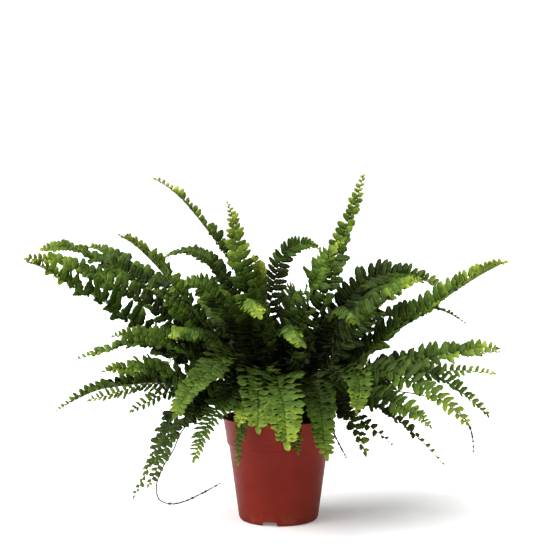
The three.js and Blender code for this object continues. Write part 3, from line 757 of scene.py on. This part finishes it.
characters = {
    **dict.fromkeys((7, 14, 15), dense),
    **dict.fromkeys((8, 16, 34, 35), plume),
    **dict.fromkeys((9, 10, 11), scalloped),
    **dict.fromkeys((21, 22), ladder),
    **dict.fromkeys((23, 24), hanging),
    **dict.fromkeys((27, 30, 33), fine),
    **dict.fromkeys((28, 29, 31, 32), ruffled),
    **dict.fromkeys((48, 50, 51, 53, 54), full),
    1: dict(spacing=0.0080, breadth=1.2, stoutest=0.80, crowding=0.3, tipShare=0.40, foldRise=0.0,
            sizeSpread=0.14, darkening=-0.06),
    2: dict(spacing=0.0084, breadth=1.15, taper=0.45, pitchSpread=4.0, foldSpread=4.0, foldRise=8.0,
            tipShare=0.12, darkening=-0.08),
    3: dict(plume, foldRise=20.0),
    4: dict(ladder, breadth=0.85, slimmest=0.3),
    5: dict(spacing=0.0086, breadth=1.15, taper=0.18, tipShare=0.30, foldRise=14.0),
    6: dict(spacing=0.0084, breadth=1.4, taper=0.5, sickle=0.15, foldRise=8.0),
    12: dict(spacing=0.0088, breadth=1.3, stoutest=0.70, taper=0.5, sizeSpread=0.22, sweepSpread=14.0,
             foldSpread=14.0, twist=0.8, tipShare=0.4),
    13: dict(spacing=0.0092, breadth=1.3, stoutest=0.80, taper=0.6, tipShare=0.5, crowding=0.3,
             foldRise=0.0, darkening=-0.06),
    25: dict(ruffled, spacing=0.0052, breadth=1.1, slimmest=0.20, stoutest=0.34, sweep=24.0, taper=0.5,
             tipShare=0.4),
    26: dict(ruffled, breadth=1.9, slimmest=0.32, stoutest=0.60, sweep=20.0, tipShare=0.45,
             foldSpread=2.0, pitchSpread=2.0, wave=0.12),
    36: dict(ladder, spacing=0.0086, breadth=0.85, slimmest=0.40, sizeSpread=0.12, sweepSpread=8.0),
    38: dict(tidy, spacing=0.0062, breadth=1.55, taper=0.22, tipShare=0.40, foldRise=40.0),
    40: dict(spacing=0.0100, breadth=0.95, stoutest=0.75, taper=0.5, tipShare=0.35),
    41: dict(spacing=0.0088, breadth=0.7, tipShare=0.4),
    42: dict(ladder, breadth=0.9),
    43: dict(spacing=0.0086, breadth=1.0, taper=0.2, tipShare=0.3),
    45: dict(spacing=0.0056, breadth=1.1),
    47: dict(spacing=0.0080, tipShare=0.6),
    49: dict(spacing=0.0082, breadth=1.2),
    55: dict(full, tipShare=0.6),
}


def leafPoints(blank, leaf):
    t, s, h = blank["along"], blank["across"], blank["up"]
    each = {key: values[:, None] for key, values in leaf.items()}
    hand, length, width = each["hand"], each["length"], each["width"]
    shape = (1 - leaflet["narrowFoot"] * (1 - t) ** 8) * (1 - each["taper"] * t ** 1.6)
    shape = shape * np.sqrt((1 - t ** 4.5).clip(0))
    teeth = 1 + leaflet["tooth"] * np.where(np.round(t * leaflet["teeth"]) % 2 == 0, 1, -1) * (abs(s) > 0.9)
    near = np.exp(-((t - leaflet["earPlace"]) / leaflet["earReach"]) ** 2)
    ear = 1 + leaflet["auricle"] * near * (hand * s > 0)
    wide = 0.5 * width * shape * teeth * ear
    ripple = np.sin(2 * math.pi * (each["waves"] * t + each["phase"]))
    y = wide * s + hand * length * each["sickle"] * t ** 2
    z = h * leaflet["thickness"] * (1 - 0.5 * t) - leaflet["groove"] * (s == 0)
    z = z - each["droop"] * length * t ** 2 - leaflet["cup"] * wide * s ** 2
    z = z + each["wave"] * width * ripple * s ** 2 * np.sin(math.pi * t) * np.sign(s)
    z = z + each["twist"] * wide * s * t
    return setOut(leaf["at"], (leaf["out"], leaf["forward"], leaf["face"]), length * t, y, z)


# The ways of a leaflet, after its sweep forward, its fold up and its pitch round its own midrib
def leafWays(ahead, side, over, hand, sweep, fold, pitch):
    out = side * hand * np.cos(sweep) + ahead * np.sin(sweep)
    face = over * np.cos(fold) - out * np.sin(fold)
    out = out * np.cos(fold) + over * np.sin(fold)
    forward = np.cross(face, out)
    turned = forward * np.cos(hand * pitch) + face * np.sin(hand * pitch)
    return out, turned, face * np.cos(hand * pitch) - forward * np.sin(hand * pitch)


def bladeShare(q):
    return q * (1 + leaflet["crowding"] - leaflet["crowding"] * q)


def lineLength(line):
    # which way its sides face makes no difference to its length
    steps = stations(line, up[None], 0.0, np.linspace(0, 1, 60))[0][0]
    return np.linalg.norm(np.diff(steps, axis=0), axis=1).sum()


# What is particular to one frond: its line wanders a little, twists and, where young, curls at its tip.
habit = {
    "waves": (1.6, 3.2), "sway": 0.0013, "twist": 10.0, "tone": 0.3,
    "curl": 0.006, "foldWave": 7.0, "pitchWave": 6.0,
}

# How young the leaflets are, with painted shade: they are darker at the foot of a frond and near the heart
# of the plant, partly as older leaves and partly as painted shade where the fronds shade each other.
greening = {
    "grown": 0.20, "young": 0.26, "tip": 0.45, "tipFall": 3.5, "foot": 0.20,
    "inside": 0.30, "insideYoung": 0.7, "heart": (0.0, 0.0, 0.15), "heartReach": 0.09,
    "youngSlot": 0.55,        # fronds younger than this are in the slot of the young ones
}


def frondHabit(rng):
    return {
        "waves": rng.uniform(*habit["waves"]),
        "phase": rng.uniform(0, 1),
        "twist": rng.normal(0, habit["twist"]),
        "tone": rng.normal(0, habit["tone"]),
    }


def wave(manner, u, shift=0.0):
    return np.sin(2 * math.pi * (manner["waves"] * u + manner["phase"] + shift))


# The place and ways at the shares u of a frond's own line
def frondStations(look, line, sideway, turn, manner, u):
    settled = (u / crown["bareShare"]).clip(0, 1)[:, None]
    twist = math.radians(manner["twist"]) * wave(manner, u, 0.3)[:, None]
    at, ahead, side, over = (x[0] for x in stations(line, sideway, (turn + twist) * settled, u.clip(0)))
    drift = habit["sway"] * wave(manner, u)[:, None] * settled
    curl = habit["curl"] * look["young"] * ((u - 0.9) / 0.1).clip(0)[:, None] ** 2
    return at + side * drift - over * curl, ahead, side, over


# The drawn leaflets are a little fuller towards the foot than the solids' and go on further down.
def drawnLength(look, u):
    v = bladePlace(u)
    foot = np.interp(v, look["footPlaces"], look["footShares"])
    outer = pastFullest(v)
    shorter = 1 - (1 - look["tipShare"]) * outer ** look["tipFall"]
    return look["half"] * foot * shorter * (1 - 0.3 * outer ** 12)


def growLeaflets(look, line, sideway, turn, manner, rng):
    bare = look["bareShare"]
    stretch = lineLength(line) * (1 - bare)
    pairs = round(stretch / look["spacing"])
    q = np.repeat((np.arange(pairs) + look["firstPair"]) / pairs, 2)
    hand = np.tile([1.0, -1.0], pairs)
    q = q + np.where(hand > 0, 0, look["stagger"] / pairs)
    q = q + rng.normal(0, look["jitter"] / pairs, 2 * pairs)
    q = np.append(q.clip(0, 0.998), 1.0)
    hand = np.append(hand, 1.0)
    u = bare + (1 - bare) * bladeShare(q)
    at, ahead, side, over = frondStations(look, line, sideway, turn, manner, u)
    n = len(q)

    def varied(key):
        return look[key] + rng.normal(0, look[key + "Spread"], n)

    sizes = rng.normal(1, look["sizeSpread"], n).clip(*look["sizeRange"])
    length = drawnLength(look, u) * look["fullness"] * sizes
    length[-1] *= look["lastShare"]
    spacing = stretch / pairs * (1 + look["crowding"] - 2 * look["crowding"] * q)
    width = look["breadth"] * spacing * rng.normal(1, look["breadthSpread"], n)
    stoutest = look["stoutest"] + (look["tipStoutest"] - look["stoutest"]) * u ** 3
    width = width.clip(look["slimmest"] * length, stoutest * length)
    sweep = varied("sweep")
    fold = varied("fold") + look["foldRise"] * u ** 2 + habit["foldWave"] * wave(manner, u, 0.1)
    pitch = varied("pitch") + habit["pitchWave"] * wave(manner, 1.7 * u, 0.6)
    sweep[-1] = 90
    fold[-1] = pitch[-1] = 0
    angles = [np.radians(angle)[:, None] for angle in (sweep, fold, pitch)]
    out, forward, face = leafWays(ahead, side, over, hand[:, None], *angles)
    young = look["young"]
    depth = np.linalg.norm(at - greening["heart"], axis=1) / greening["heartReach"]
    ageAndShade = greening["grown"] + greening["young"] * young - look["darkening"]
    # Painted shade as well as the real darkening of older leaves: darker towards the foot of each frond and
    # near the heart of the plant, less so there on young fronds.
    ageAndShade = ageAndShade + greening["tip"] * u ** greening["tipFall"] - greening["foot"] * (1 - u) ** 2
    ageAndShade -= greening["inside"] * (1 - greening["insideYoung"] * max(young, 0)) * np.exp(-depth ** 2)
    return {
        "at": at + over * look["lift"], "out": out, "forward": forward, "face": face, "hand": hand,
        "length": length, "width": width,
        "wave": np.full(n, look["wave"]), "sickle": np.full(n, look["sickle"]),
        "waves": rng.uniform(*look["waves"], n), "phase": rng.uniform(0, 1, n),
        "droop": look["droop"] * rng.uniform(0.0, 2.0, n), "twist": rng.normal(0, look["twist"], n),
        "taper": varied("taper"),
        "ageAndShade": ageAndShade + rng.normal(0, look["ageSpread"], n),
        "tone": rng.normal(0, look["toneSpread"], n).clip(-1, 1) + manner["tone"],
    }


# The chosen leaflets, made from one blank
def leafBatch(blank, leaf, chosen):
    leaf = {key: values[chosen] for key, values in leaf.items()}
    # Painted light and shade on each leaflet: lighter towards its tip and forward edge, darker at its foot
    # and rear edge, where its neighbours shade it.
    glow = leaflet["tipLightAndShade"] * (blank["along"] - 0.3)
    glow = glow + leaflet["edgeLightAndShade"] * blank["across"] * leaf["hand"][:, None]
    marks = {
        "ageAndShade": leaf["ageAndShade"][:, None] + glow,
        "tone": leaf["tone"][:, None],
        "under": (blank["up"] < 0)[None].astype(float),
    }
    return blank, leafPoints(blank, leaf), marks


# Stipe and midrib

stem = {
    "buried": 0.013,
    "lean": 0.1,
    "ribWidth": 0.0015,
    "ribTip": 0.0006,
    "stipeDepth": 0.0018,
    "ribDepth": 0.0010,
    "ribTipDepth": 0.0005,
    "buriedShare": 0.05,      # of the blank's rings
    "agePlaces": (-0.05, 0.1, 0.4, 1),        # from brown at the soil to green at the tip
    "ages": (0.0, 0.2, 0.5, 0.75),
    "youngAge": 0.2,
}


def growStem(look, line, sideway, turn, manner):
    t = stemBlank["along"]
    u = (t - stem["buriedShare"]) / (1 - stem["buriedShare"])
    at, ahead, side, over = frondStations(look, line, sideway, turn, manner, u)
    outward = np.array([-sideway[0, 1], sideway[0, 0], 0])
    down = -unit(up + outward * stem["lean"]) * stem["buried"]
    at = at + down * (-u / stem["buriedShare"]).clip(0)[:, None]
    knots = [0, crown["bareShare"], 1]
    width = np.interp(u, knots, [crown["stipeWidth"], stem["ribWidth"], stem["ribTip"]])
    depth = np.interp(u, knots, [stem["stipeDepth"], stem["ribDepth"], stem["ribTipDepth"]])
    points = at + side * (stemBlank["up"] * width / 2)[:, None]
    points += over * (stemBlank["across"] * depth / 2)[:, None]
    ageAndShade = np.interp(u, stem["agePlaces"], stem["ages"]) + stem["youngAge"] * look["young"]
    return stemBlank, points[None], {"ageAndShade": ageAndShade[None], "tone": 0.0, "under": 0.0}


# Papery brown scales clothe the foot of a stipe.
scales = {
    "count": 26, "length": 0.0036, "width": 0.0011, "thickness": 0.2, "reach": 0.17,
    "sizes": (0.6, 1.2), "tilts": (12, 40), "ageAndShade": 0.02, "sunk": 0.42,
    "taper": 0.6, "crowding": 1.6,
}


def growScales(line, sideway, rng):
    n = scales["count"]
    u = rng.uniform(0, 1, n) ** scales["crowding"] * scales["reach"]
    at, ahead, side, over = (x[0] for x in stations(line, sideway, 0.0, u))
    away = anyWayOut(side, over, rng)
    tilt = np.radians(rng.uniform(*scales["tilts"], n))[:, None]
    out = ahead * np.cos(tilt) + away * np.sin(tilt)
    face = unit(away - dot(away, out) * out)
    t, s, h = scaleBlank["along"], scaleBlank["across"], scaleBlank["up"]
    length = scales["length"] * rng.uniform(*scales["sizes"], n)[:, None]
    wide = scales["width"] / 2 * (1 - scales["taper"] * t) * np.ones((n, 1))
    base = at + away * crown["stipeWidth"] * scales["sunk"]
    ways = (out, np.cross(face, out), face)
    points = setOut(base, ways, length * t, wide * s, wide * h * scales["thickness"])
    tone = rng.uniform(-0.5, 1, n)[:, None]
    return scaleBlank, points, {"ageAndShade": scales["ageAndShade"], "tone": tone, "under": 0.0}


def growFrond(k, row):
    rng = np.random.default_rng(100 + k)
    line = lines[k][None]
    sideway = sideways[k][None]
    manner = frondHabit(rng)
    look = {**leaflet, **characters.get(k + 1, {}), **row}
    leaf = growLeaflets(look, line, sideway, turns[k], manner, rng)
    large = leaf["length"] > leaflet["buds"]
    batches = [
        leafBatch(leafBlank, leaf, large),
        leafBatch(budBlank, leaf, ~large),
        growStem(look, line, sideway, turns[k], manner),
        growScales(line, sideway, rng),
    ]
    piece = joinBlanks(f"leafyFrond{k + 1:02d}", batches, [leafPaint, stemPaint])
    addPiece(piece, f"frond_{k + 1:02d}")
    return len(leaf["hand"])


leafCount = sum(growFrond(k, row) for k, row in enumerate(fronds))
print("fronds grown:", len(fronds), "leaflets:", leafCount)


# Pot

pot = {
    "height": 0.110, "steps": 128, "wall": 0.0017,
    "lipRadius": 0.060, "lipWidth": 0.0018, "lipHeight": 0.002, "lipChamfer": 0.0007,
    "bandFoot": 0.0815, "bandRadius": 0.0552, "bandStep": 0.0016,
    "bandSlant": 0.0012, "bandSlantInside": 0.0025,
    "cornerTop": 0.006, "cornerRadius": 0.043, "cornerAngles": [15, 40, 65, 90],
    "footRadius": 0.0395, "footWidth": 0.002,
    "floorHeight": 0.005, "floorTop": 0.0065, "floorFillet": 0.0015, "filletWidth": 0.0014,
    "edgeRounding": 0.0005, "roundedFrom": 25, "smoothUpTo": 32,
    "notchAngles": (-103.4, 16.6, 136.6), "notch": (0.018, 0.0046, 0.0015),
    "nickTurn": -45, "nick": (0.004, 0.003, 0.0006), "cutLength": 0.016,
    "cutBelow": 0.001,
    "drains": 6, "drainRadius": 0.004, "drainCircle": 0.024, "drainSides": 24, "drainDepth": 0.02,
}


def unitCircle(angle):
    return math.cos(angle), math.sin(angle)


def wallRadius(z):
    share = (z - pot["cornerTop"]) / (pot["bandFoot"] - pot["cornerTop"])
    return pot["cornerRadius"] + (pot["bandRadius"] - pot["bandStep"] - pot["cornerRadius"]) * share


def potOutline():
    foot, lip, band, wall = (pot[key] for key in ("footRadius", "lipRadius", "bandRadius", "wall"))
    top, bandFoot, floorHeight, floorTop = (
        pot[key] for key in ("height", "bandFoot", "floorHeight", "floorTop"))
    fillet, lipFoot = pot["floorFillet"], top - pot["lipHeight"]
    footInner = foot - pot["footWidth"]
    slant, slantInside = bandFoot - pot["bandSlant"], bandFoot - pot["bandSlantInside"]
    corner = [(foot + (pot["cornerRadius"] - foot) * math.sin(a), pot["cornerTop"] * (1 - math.cos(a)))
              for a in np.radians(pot["cornerAngles"])]
    return [
        (0.0, floorHeight),
        (footInner - fillet, floorHeight),
        (footInner, 0.0),
        (foot, 0.0),
        *corner,
        (wallRadius(slant), slant),
        (band, bandFoot),
        (lip - pot["lipChamfer"], lipFoot),
        (lip, top - pot["lipHeight"] * 0.7),
        (lip, top),
        (lip - pot["lipWidth"], top),
        (band - wall, bandFoot),
        (wallRadius(slantInside) - wall, slantInside),
        (wallRadius(floorTop + fillet) - wall, floorTop + fillet),
        (wallRadius(floorTop) - wall - pot["filletWidth"], floorTop),
        (0.0, floorTop),
    ]


# Turns an outline of radius and height pairs round the axis.
def lathe(bm, outline, steps):
    corners = [bm.verts.new((r, 0, z)) for r, z in outline]
    edges = [bm.edges.new(pair) for pair in zip(corners, corners[1:])]
    bmesh.ops.spin(bm, geom=corners + edges, cent=(0, 0, 0), axis=(0, 0, 1), angle=2 * math.pi,
                   steps=steps, use_merge=True)
    bmesh.ops.remove_doubles(bm, verts=bm.verts, dist=1e-6)
    bmesh.ops.recalc_face_normals(bm, faces=bm.faces)


# A block through the foot ring, narrower at its top
def footCut(bm, angle, size):
    width, height, slant = size
    made = bmesh.ops.create_cube(bm, size=1)["verts"]
    for v in made:
        high = v.co.z > 0
        v.co.x *= width - (2 * slant if high else 0)
        v.co.y = v.co.y * pot["cutLength"] - pot["footRadius"]
        v.co.z = height if high else -pot["cutBelow"]
    turn = Matrix.Rotation(math.radians(angle + 90), 3, "Z")
    bmesh.ops.rotate(bm, verts=made, cent=(0, 0, 0), matrix=turn)


def potCutters():
    bm = bmesh.new()
    for angle in pot["notchAngles"]:
        footCut(bm, angle, pot["notch"])
        footCut(bm, angle + pot["nickTurn"], pot["nick"])
    for k in range(pot["drains"]):
        made = bmesh.ops.create_cone(
            bm, cap_ends=True, segments=pot["drainSides"], radius1=pot["drainRadius"],
            radius2=pot["drainRadius"], depth=pot["drainDepth"])["verts"]
        x, y = unitCircle(2 * math.pi * k / pot["drains"])
        place = (pot["drainCircle"] * x, pot["drainCircle"] * y, pot["floorHeight"])
        bmesh.ops.translate(bm, verts=made, vec=place)
    return meshFrom(bm, "potCutters")


def buildPot():
    bm = bmesh.new()
    lathe(bm, potOutline(), pot["steps"])
    level = [e for e in bm.edges if abs(e.verts[0].co.z - e.verts[1].co.z) < 1e-6]
    sharp = [e for e in level if e.calc_face_angle(0) > math.radians(pot["roundedFrom"])]
    bmesh.ops.bevel(bm, geom=sharp, offset=pot["edgeRounding"], offset_type="OFFSET", segments=3,
                    profile=0.5, affect="EDGES", material=-1, clamp_overlap=True)
    piece = bpy.data.objects.new("plasticPot", meshFrom(bm, "plasticPot"))
    cutter = bpy.data.objects.new("cutter", potCutters())
    show(cutter)
    show(piece)
    cut = piece.modifiers.new("cuts", "BOOLEAN")
    cut.operation = "DIFFERENCE"
    cut.object = cutter
    cut.solver = "EXACT"
    graph = bpy.context.evaluated_depsgraph_get()
    mesh = bpy.data.meshes.new_from_object(piece.evaluated_get(graph))
    piece.modifiers.clear()
    piece.data = mesh
    bpy.data.objects.remove(cutter)
    bpy.context.scene.collection.objects.unlink(piece)
    for polygon in mesh.polygons:
        polygon.use_smooth = True
    mesh.set_sharp_from_angle(angle=math.radians(pot["smoothUpTo"]))
    mesh.materials.clear()
    mesh.materials.append(potPaint)
    addPiece(piece, "pot")


buildPot()
print("pot made")


# Soil

soil = {
    "clearance": 0.0003, "edge": 0.095, "edgeInset": 0.0004, "bandSlant": 0.0024,
    "steps": 144, "rings": 26, "lumps": 0.0013, "fineLumps": 220, "broadLumps": 60,
    "fineShare": 0.6, "broadShare": 0.7,
    "crumbs": 620, "crumbSizes": (0.0006, 0.0026), "crumbReach": 0.0535, "crumbEdge": 0.0545,
    "crumbStretch": (0.6, 1.3), "crumbRise": 0.25, "crumbDents": 0.5,
}


# The height of the soil's top, without its lumps, where its edge is at the given radius
def soilHeight(radius, edge):
    heights = [crown["soilMiddle"], crown["soilShoulder"], soil["edge"]]
    return np.interp(radius, [0, crown["shoulderRadius"], edge], heights)


def soilOutline():
    band, bandFoot, fillet = pot["bandRadius"], pot["bandFoot"], pot["floorFillet"]
    inset = pot["wall"] + soil["clearance"]
    foot = pot["floorTop"] + soil["clearance"]
    share = (soil["edge"] - bandFoot) / (pot["height"] - bandFoot)
    edge = band + (pot["lipRadius"] - band) * share - inset - soil["edgeInset"]
    rings = [edge * (1 - k / soil["rings"]) for k in range(soil["rings"])]
    return [
        (0.0, foot),
        (wallRadius(foot) - inset - pot["filletWidth"], foot),
        (wallRadius(foot + fillet) - inset, foot + fillet),
        (wallRadius(bandFoot - pot["bandSlantInside"]) - inset, bandFoot - soil["bandSlant"]),
        (band - inset, bandFoot),
        *[(radius, soilHeight(radius, edge)) for radius in rings],
        (0.0, crown["soilMiddle"]),
    ]


def lump(x, y):
    close = noise.fractal(Vector((x * soil["fineLumps"], y * soil["fineLumps"], 3.0)), 0.9, 2.0, 4)
    broad = noise.noise(Vector((x * soil["broadLumps"], y * soil["broadLumps"], 7.0)))
    return soil["lumps"] * (soil["fineShare"] * close + soil["broadShare"] * broad)


def smoothPiece(bm, name, paint):
    for face in bm.faces:
        face.smooth = True
    piece = bpy.data.objects.new(name, meshFrom(bm, name))
    piece.data.materials.append(paint)
    return piece


def buildSoil():
    bm = bmesh.new()
    lathe(bm, soilOutline(), soil["steps"])
    for v in bm.verts:
        if v.co.z > soil["edge"] - 1e-4:
            v.co.z += lump(v.co.x, v.co.y)
    addPiece(smoothPiece(bm, "soilBed", soilPaint), "soil")


# Loose crumbs, half sunk in the soil
def buildCrumbs():
    rng = np.random.default_rng(7)
    bm = bmesh.new()
    small, large = soil["crumbSizes"]
    for _ in range(soil["crumbs"]):
        radius = soil["crumbReach"] * math.sqrt(rng.uniform())
        angle = rng.uniform(0, 2 * math.pi)
        size = small + (large - small) * rng.uniform() ** 3
        made = bmesh.ops.create_icosphere(bm, subdivisions=1, radius=size)["verts"]
        seed = rng.uniform(0, 100)
        stretch = rng.uniform(*soil["crumbStretch"], 3)
        for v in made:
            push = 1 + soil["crumbDents"] * noise.noise(v.co / size * 1.3 + Vector((seed, 0, 0)))
            v.co = Vector(v.co[i] * push * stretch[i] for i in range(3))
        x, y = (radius * way for way in unitCircle(angle))
        z = soilHeight(radius, soil["crumbEdge"]) + lump(x, y) + size * soil["crumbRise"]
        bmesh.ops.translate(bm, verts=made, vec=(x, y, z))
    addPiece(smoothPiece(bm, "soilCrumbs", soilPaint), None)


buildSoil()
buildCrumbs()
print("soil made")


# Runners

runner = {
    "radius": 0.0006, "sides": 6, "rings": 90, "knots": 0.35,
    "lumps": 2.0, "lumpsFrom": 0.62, "thinFrom": 0.92, "thinBy": 0.5,
    "aside": (0.13, 0.97, 0.2),               # a way that none of them runs
}
routes = {                    # in millimetres, as in the solids
    "runner_left": [
        (-29, -26, 92), (-30, -28, 105), (-50, -40, 124), (-75, -46, 122), (-99, -45, 103), (-110, -45, 80),
        (-120, -45, 64), (-127, -45, 44), (-125, -45, 31), (-120, -45, 27), (-110, -45, 25), (-97, -45, 28),
        (-86, -45, 33), (-76, -45, 38), (-67, -45, 43), (-60, -45, 47),
    ],
    "runner_middle": [
        (24, -30, 92), (25, -32, 105), (36, -44, 122), (50, -52, 116), (58, -53, 98), (64, -54, 86),
        (70, -55, 75),
    ],
    "runner_right": [
        (34, -20, 92), (35, -21, 105), (62, -34, 130), (100, -44, 142), (145, -52, 140), (178, -58, 128),
        (194, -60, 112), (199, -60, 97), (200, -60, 82),
    ],
}
# Root hairs: how many each runner has, and from where on
rootlets = {"runner_left": (34, 0.62), "runner_middle": (3, 0.6), "runner_right": (6, 0.5)}
rootlet = {
    "lengths": (0.0015, 0.006), "width": 0.00016, "taper": 0.7, "bend": 0.5, "leans": (-0.2, 1.2),
}


# A smooth curve through the route's points: centripetal, as the solids' curve is
def routePlaces(route, shares):
    points = np.array(route) / 1000
    points = np.vstack([2 * points[0] - points[1], points, 2 * points[-1] - points[-2]])
    share = shares * (len(route) - 1)
    span = np.minimum(share.astype(int), len(route) - 2)
    t = (share - span)[:, None]
    a, b, c, d = (points[span + k] for k in range(4))
    gaps = (b - a, c - b, d - c)
    before, here, after = (np.linalg.norm(gap, axis=1)[:, None] ** 0.5 for gap in gaps)
    leaving = (b - a) / before - (c - a) / (before + here) + (c - b) / here
    arriving = (c - b) / here - (d - b) / (here + after) + (d - c) / after
    return (b + (c - b) * (3 * t ** 2 - 2 * t ** 3) + leaving * here * (t ** 3 - 2 * t ** 2 + t)
            + arriving * here * (t ** 3 - t ** 2))


def waysAlong(places):
    ahead = unit(np.gradient(places, axis=0))
    side = unit(np.cross(ahead, runner["aside"]))
    return ahead, side, np.cross(side, ahead)


runnerBlank = makeBlank("runnerBlank", runner["sides"], runner["rings"], False, 0)
rootletBlank = makeBlank("rootletBlank", 4, 3, True, 0)


def buildRunner(name, route):
    rng = np.random.default_rng(len(route))
    shares = np.linspace(0, 1, runner["rings"] + 1)
    places = routePlaces(route, shares)
    ahead, side, over = waysAlong(places)
    ring = np.round(runnerBlank["along"] * runner["rings"]).astype(int)
    swell = 1 + runner["knots"] * rng.uniform(0, 1, len(shares)) ** 4
    swell += runner["lumps"] * rng.uniform(0, 1, len(shares)) ** 4 * (shares > runner["lumpsFrom"])
    swell -= runner["thinBy"] * (shares > runner["thinFrom"])
    reach = (runner["radius"] * swell[ring])[:, None]
    outward = side[ring] * runnerBlank["up"][:, None] + over[ring] * runnerBlank["across"][:, None]
    tube = places[ring] + reach * outward
    hairs = growRootlets(places, ahead, side, over, *rootlets[name], rng)
    batches = [(runnerBlank, tube[None], {"ageAndShade": 0.0}), hairs]
    piece = joinBlanks("wiry" + name.title().replace("_", ""), batches, [runnerPaint])
    addPiece(piece, name)


# Short root hairs on the last stretch of a runner
def growRootlets(places, ahead, side, over, count, first, rng):
    at = (rng.uniform(first, 1.0, count) * (len(places) - 1)).astype(int)
    away = anyWayOut(side[at], over[at], rng)
    out = unit(away + ahead[at] * rng.uniform(*rootlet["leans"], count)[:, None])
    face = unit(np.cross(out, ahead[at] + 0.3 * away))
    t, s, h = rootletBlank["along"], rootletBlank["across"], rootletBlank["up"]
    length = rng.uniform(*rootlet["lengths"], count)[:, None]
    wide = rootlet["width"] * (1 - rootlet["taper"] * t) * np.ones((count, 1))
    bend = length * t ** 2 * rng.uniform(-rootlet["bend"], rootlet["bend"], count)[:, None]
    points = setOut(places[at], (out, np.cross(face, out), face), length * t, wide * s, wide * h + bend)
    return rootletBlank, points, {"ageAndShade": 0.0}


for runnerName, runnerRoute in routes.items():
    buildRunner(runnerName, runnerRoute)
print("runners made:", len(routes))


# Floor, light and camera

studio = {
    "floorSize": 60.0,
    "key": {"energy": 5.05, "soft": 68, "from": (-0.85, -0.62, 1.35)},
    "fill": {"energy": 0.36, "soft": 80, "from": (0.9, -0.5, 1.2)},
    "sky": 0.24,
    "white": 1.0,
}

view = {
    "distance": 1.300,         # from the pot's axis to the lens
    "height": 0.304,
    "lens": 79.5,
    "pitch": 1.86,             # degrees down
    "shift": -0.0065,
    "sensor": 36,
    "nearest": 0.01,
}


def addFloor():
    bm = bmesh.new()
    bmesh.ops.create_grid(bm, x_segments=1, y_segments=1, size=studio["floorSize"] / 2)
    floor = smoothPiece(bm, "studioFloor", floorMaterial())
    show(floor)


def addSun(name, light):
    lamp = bpy.data.lights.new(name, "SUN")
    lamp.energy = light["energy"]
    lamp.angle = math.radians(light["soft"])
    holder = bpy.data.objects.new(name, lamp)
    holder.rotation_euler = Vector(light["from"]).to_track_quat("Z", "Y").to_euler()
    show(holder)


# The camera sees a white backdrop, and the plant gets a softer share of it.
def addSky():
    world = bpy.data.worlds.new("studio")
    world.use_nodes = True
    tree = world.node_tree
    tree.nodes.clear()
    rays = tree.nodes.new("ShaderNodeLightPath")
    blend = tree.nodes.new("ShaderNodeMixShader")
    output = tree.nodes.new("ShaderNodeOutputWorld")
    for socket, strength in ((1, studio["sky"]), (2, studio["white"])):
        light = tree.nodes.new("ShaderNodeBackground")
        light.inputs["Color"].default_value = (1.0, 1.0, 1.0, 1.0)
        light.inputs["Strength"].default_value = strength
        tree.links.new(light.outputs[0], blend.inputs[socket])
    tree.links.new(rays.outputs["Is Camera Ray"], blend.inputs["Fac"])
    tree.links.new(blend.outputs[0], output.inputs["Surface"])
    bpy.context.scene.world = world


def addCamera():
    lens = bpy.data.cameras.new("camera")
    lens.lens = view["lens"]
    lens.sensor_width = view["sensor"]
    lens.shift_x = view["shift"]
    lens.clip_start = view["nearest"]
    camera = bpy.data.objects.new("camera", lens)
    camera.location = (0, -view["distance"], view["height"])
    camera.rotation_euler = (math.radians(90 - view["pitch"]), 0, 0)
    show(camera)
    bpy.context.scene.camera = camera


addFloor()
addSun("keyLight", studio["key"])
addSun("fillLight", studio["fill"])
addSky()
addCamera()
bpy.context.scene.view_settings.view_transform = "Standard"
bpy.context.scene.view_settings.look = "Medium High Contrast"
print("studio ready")
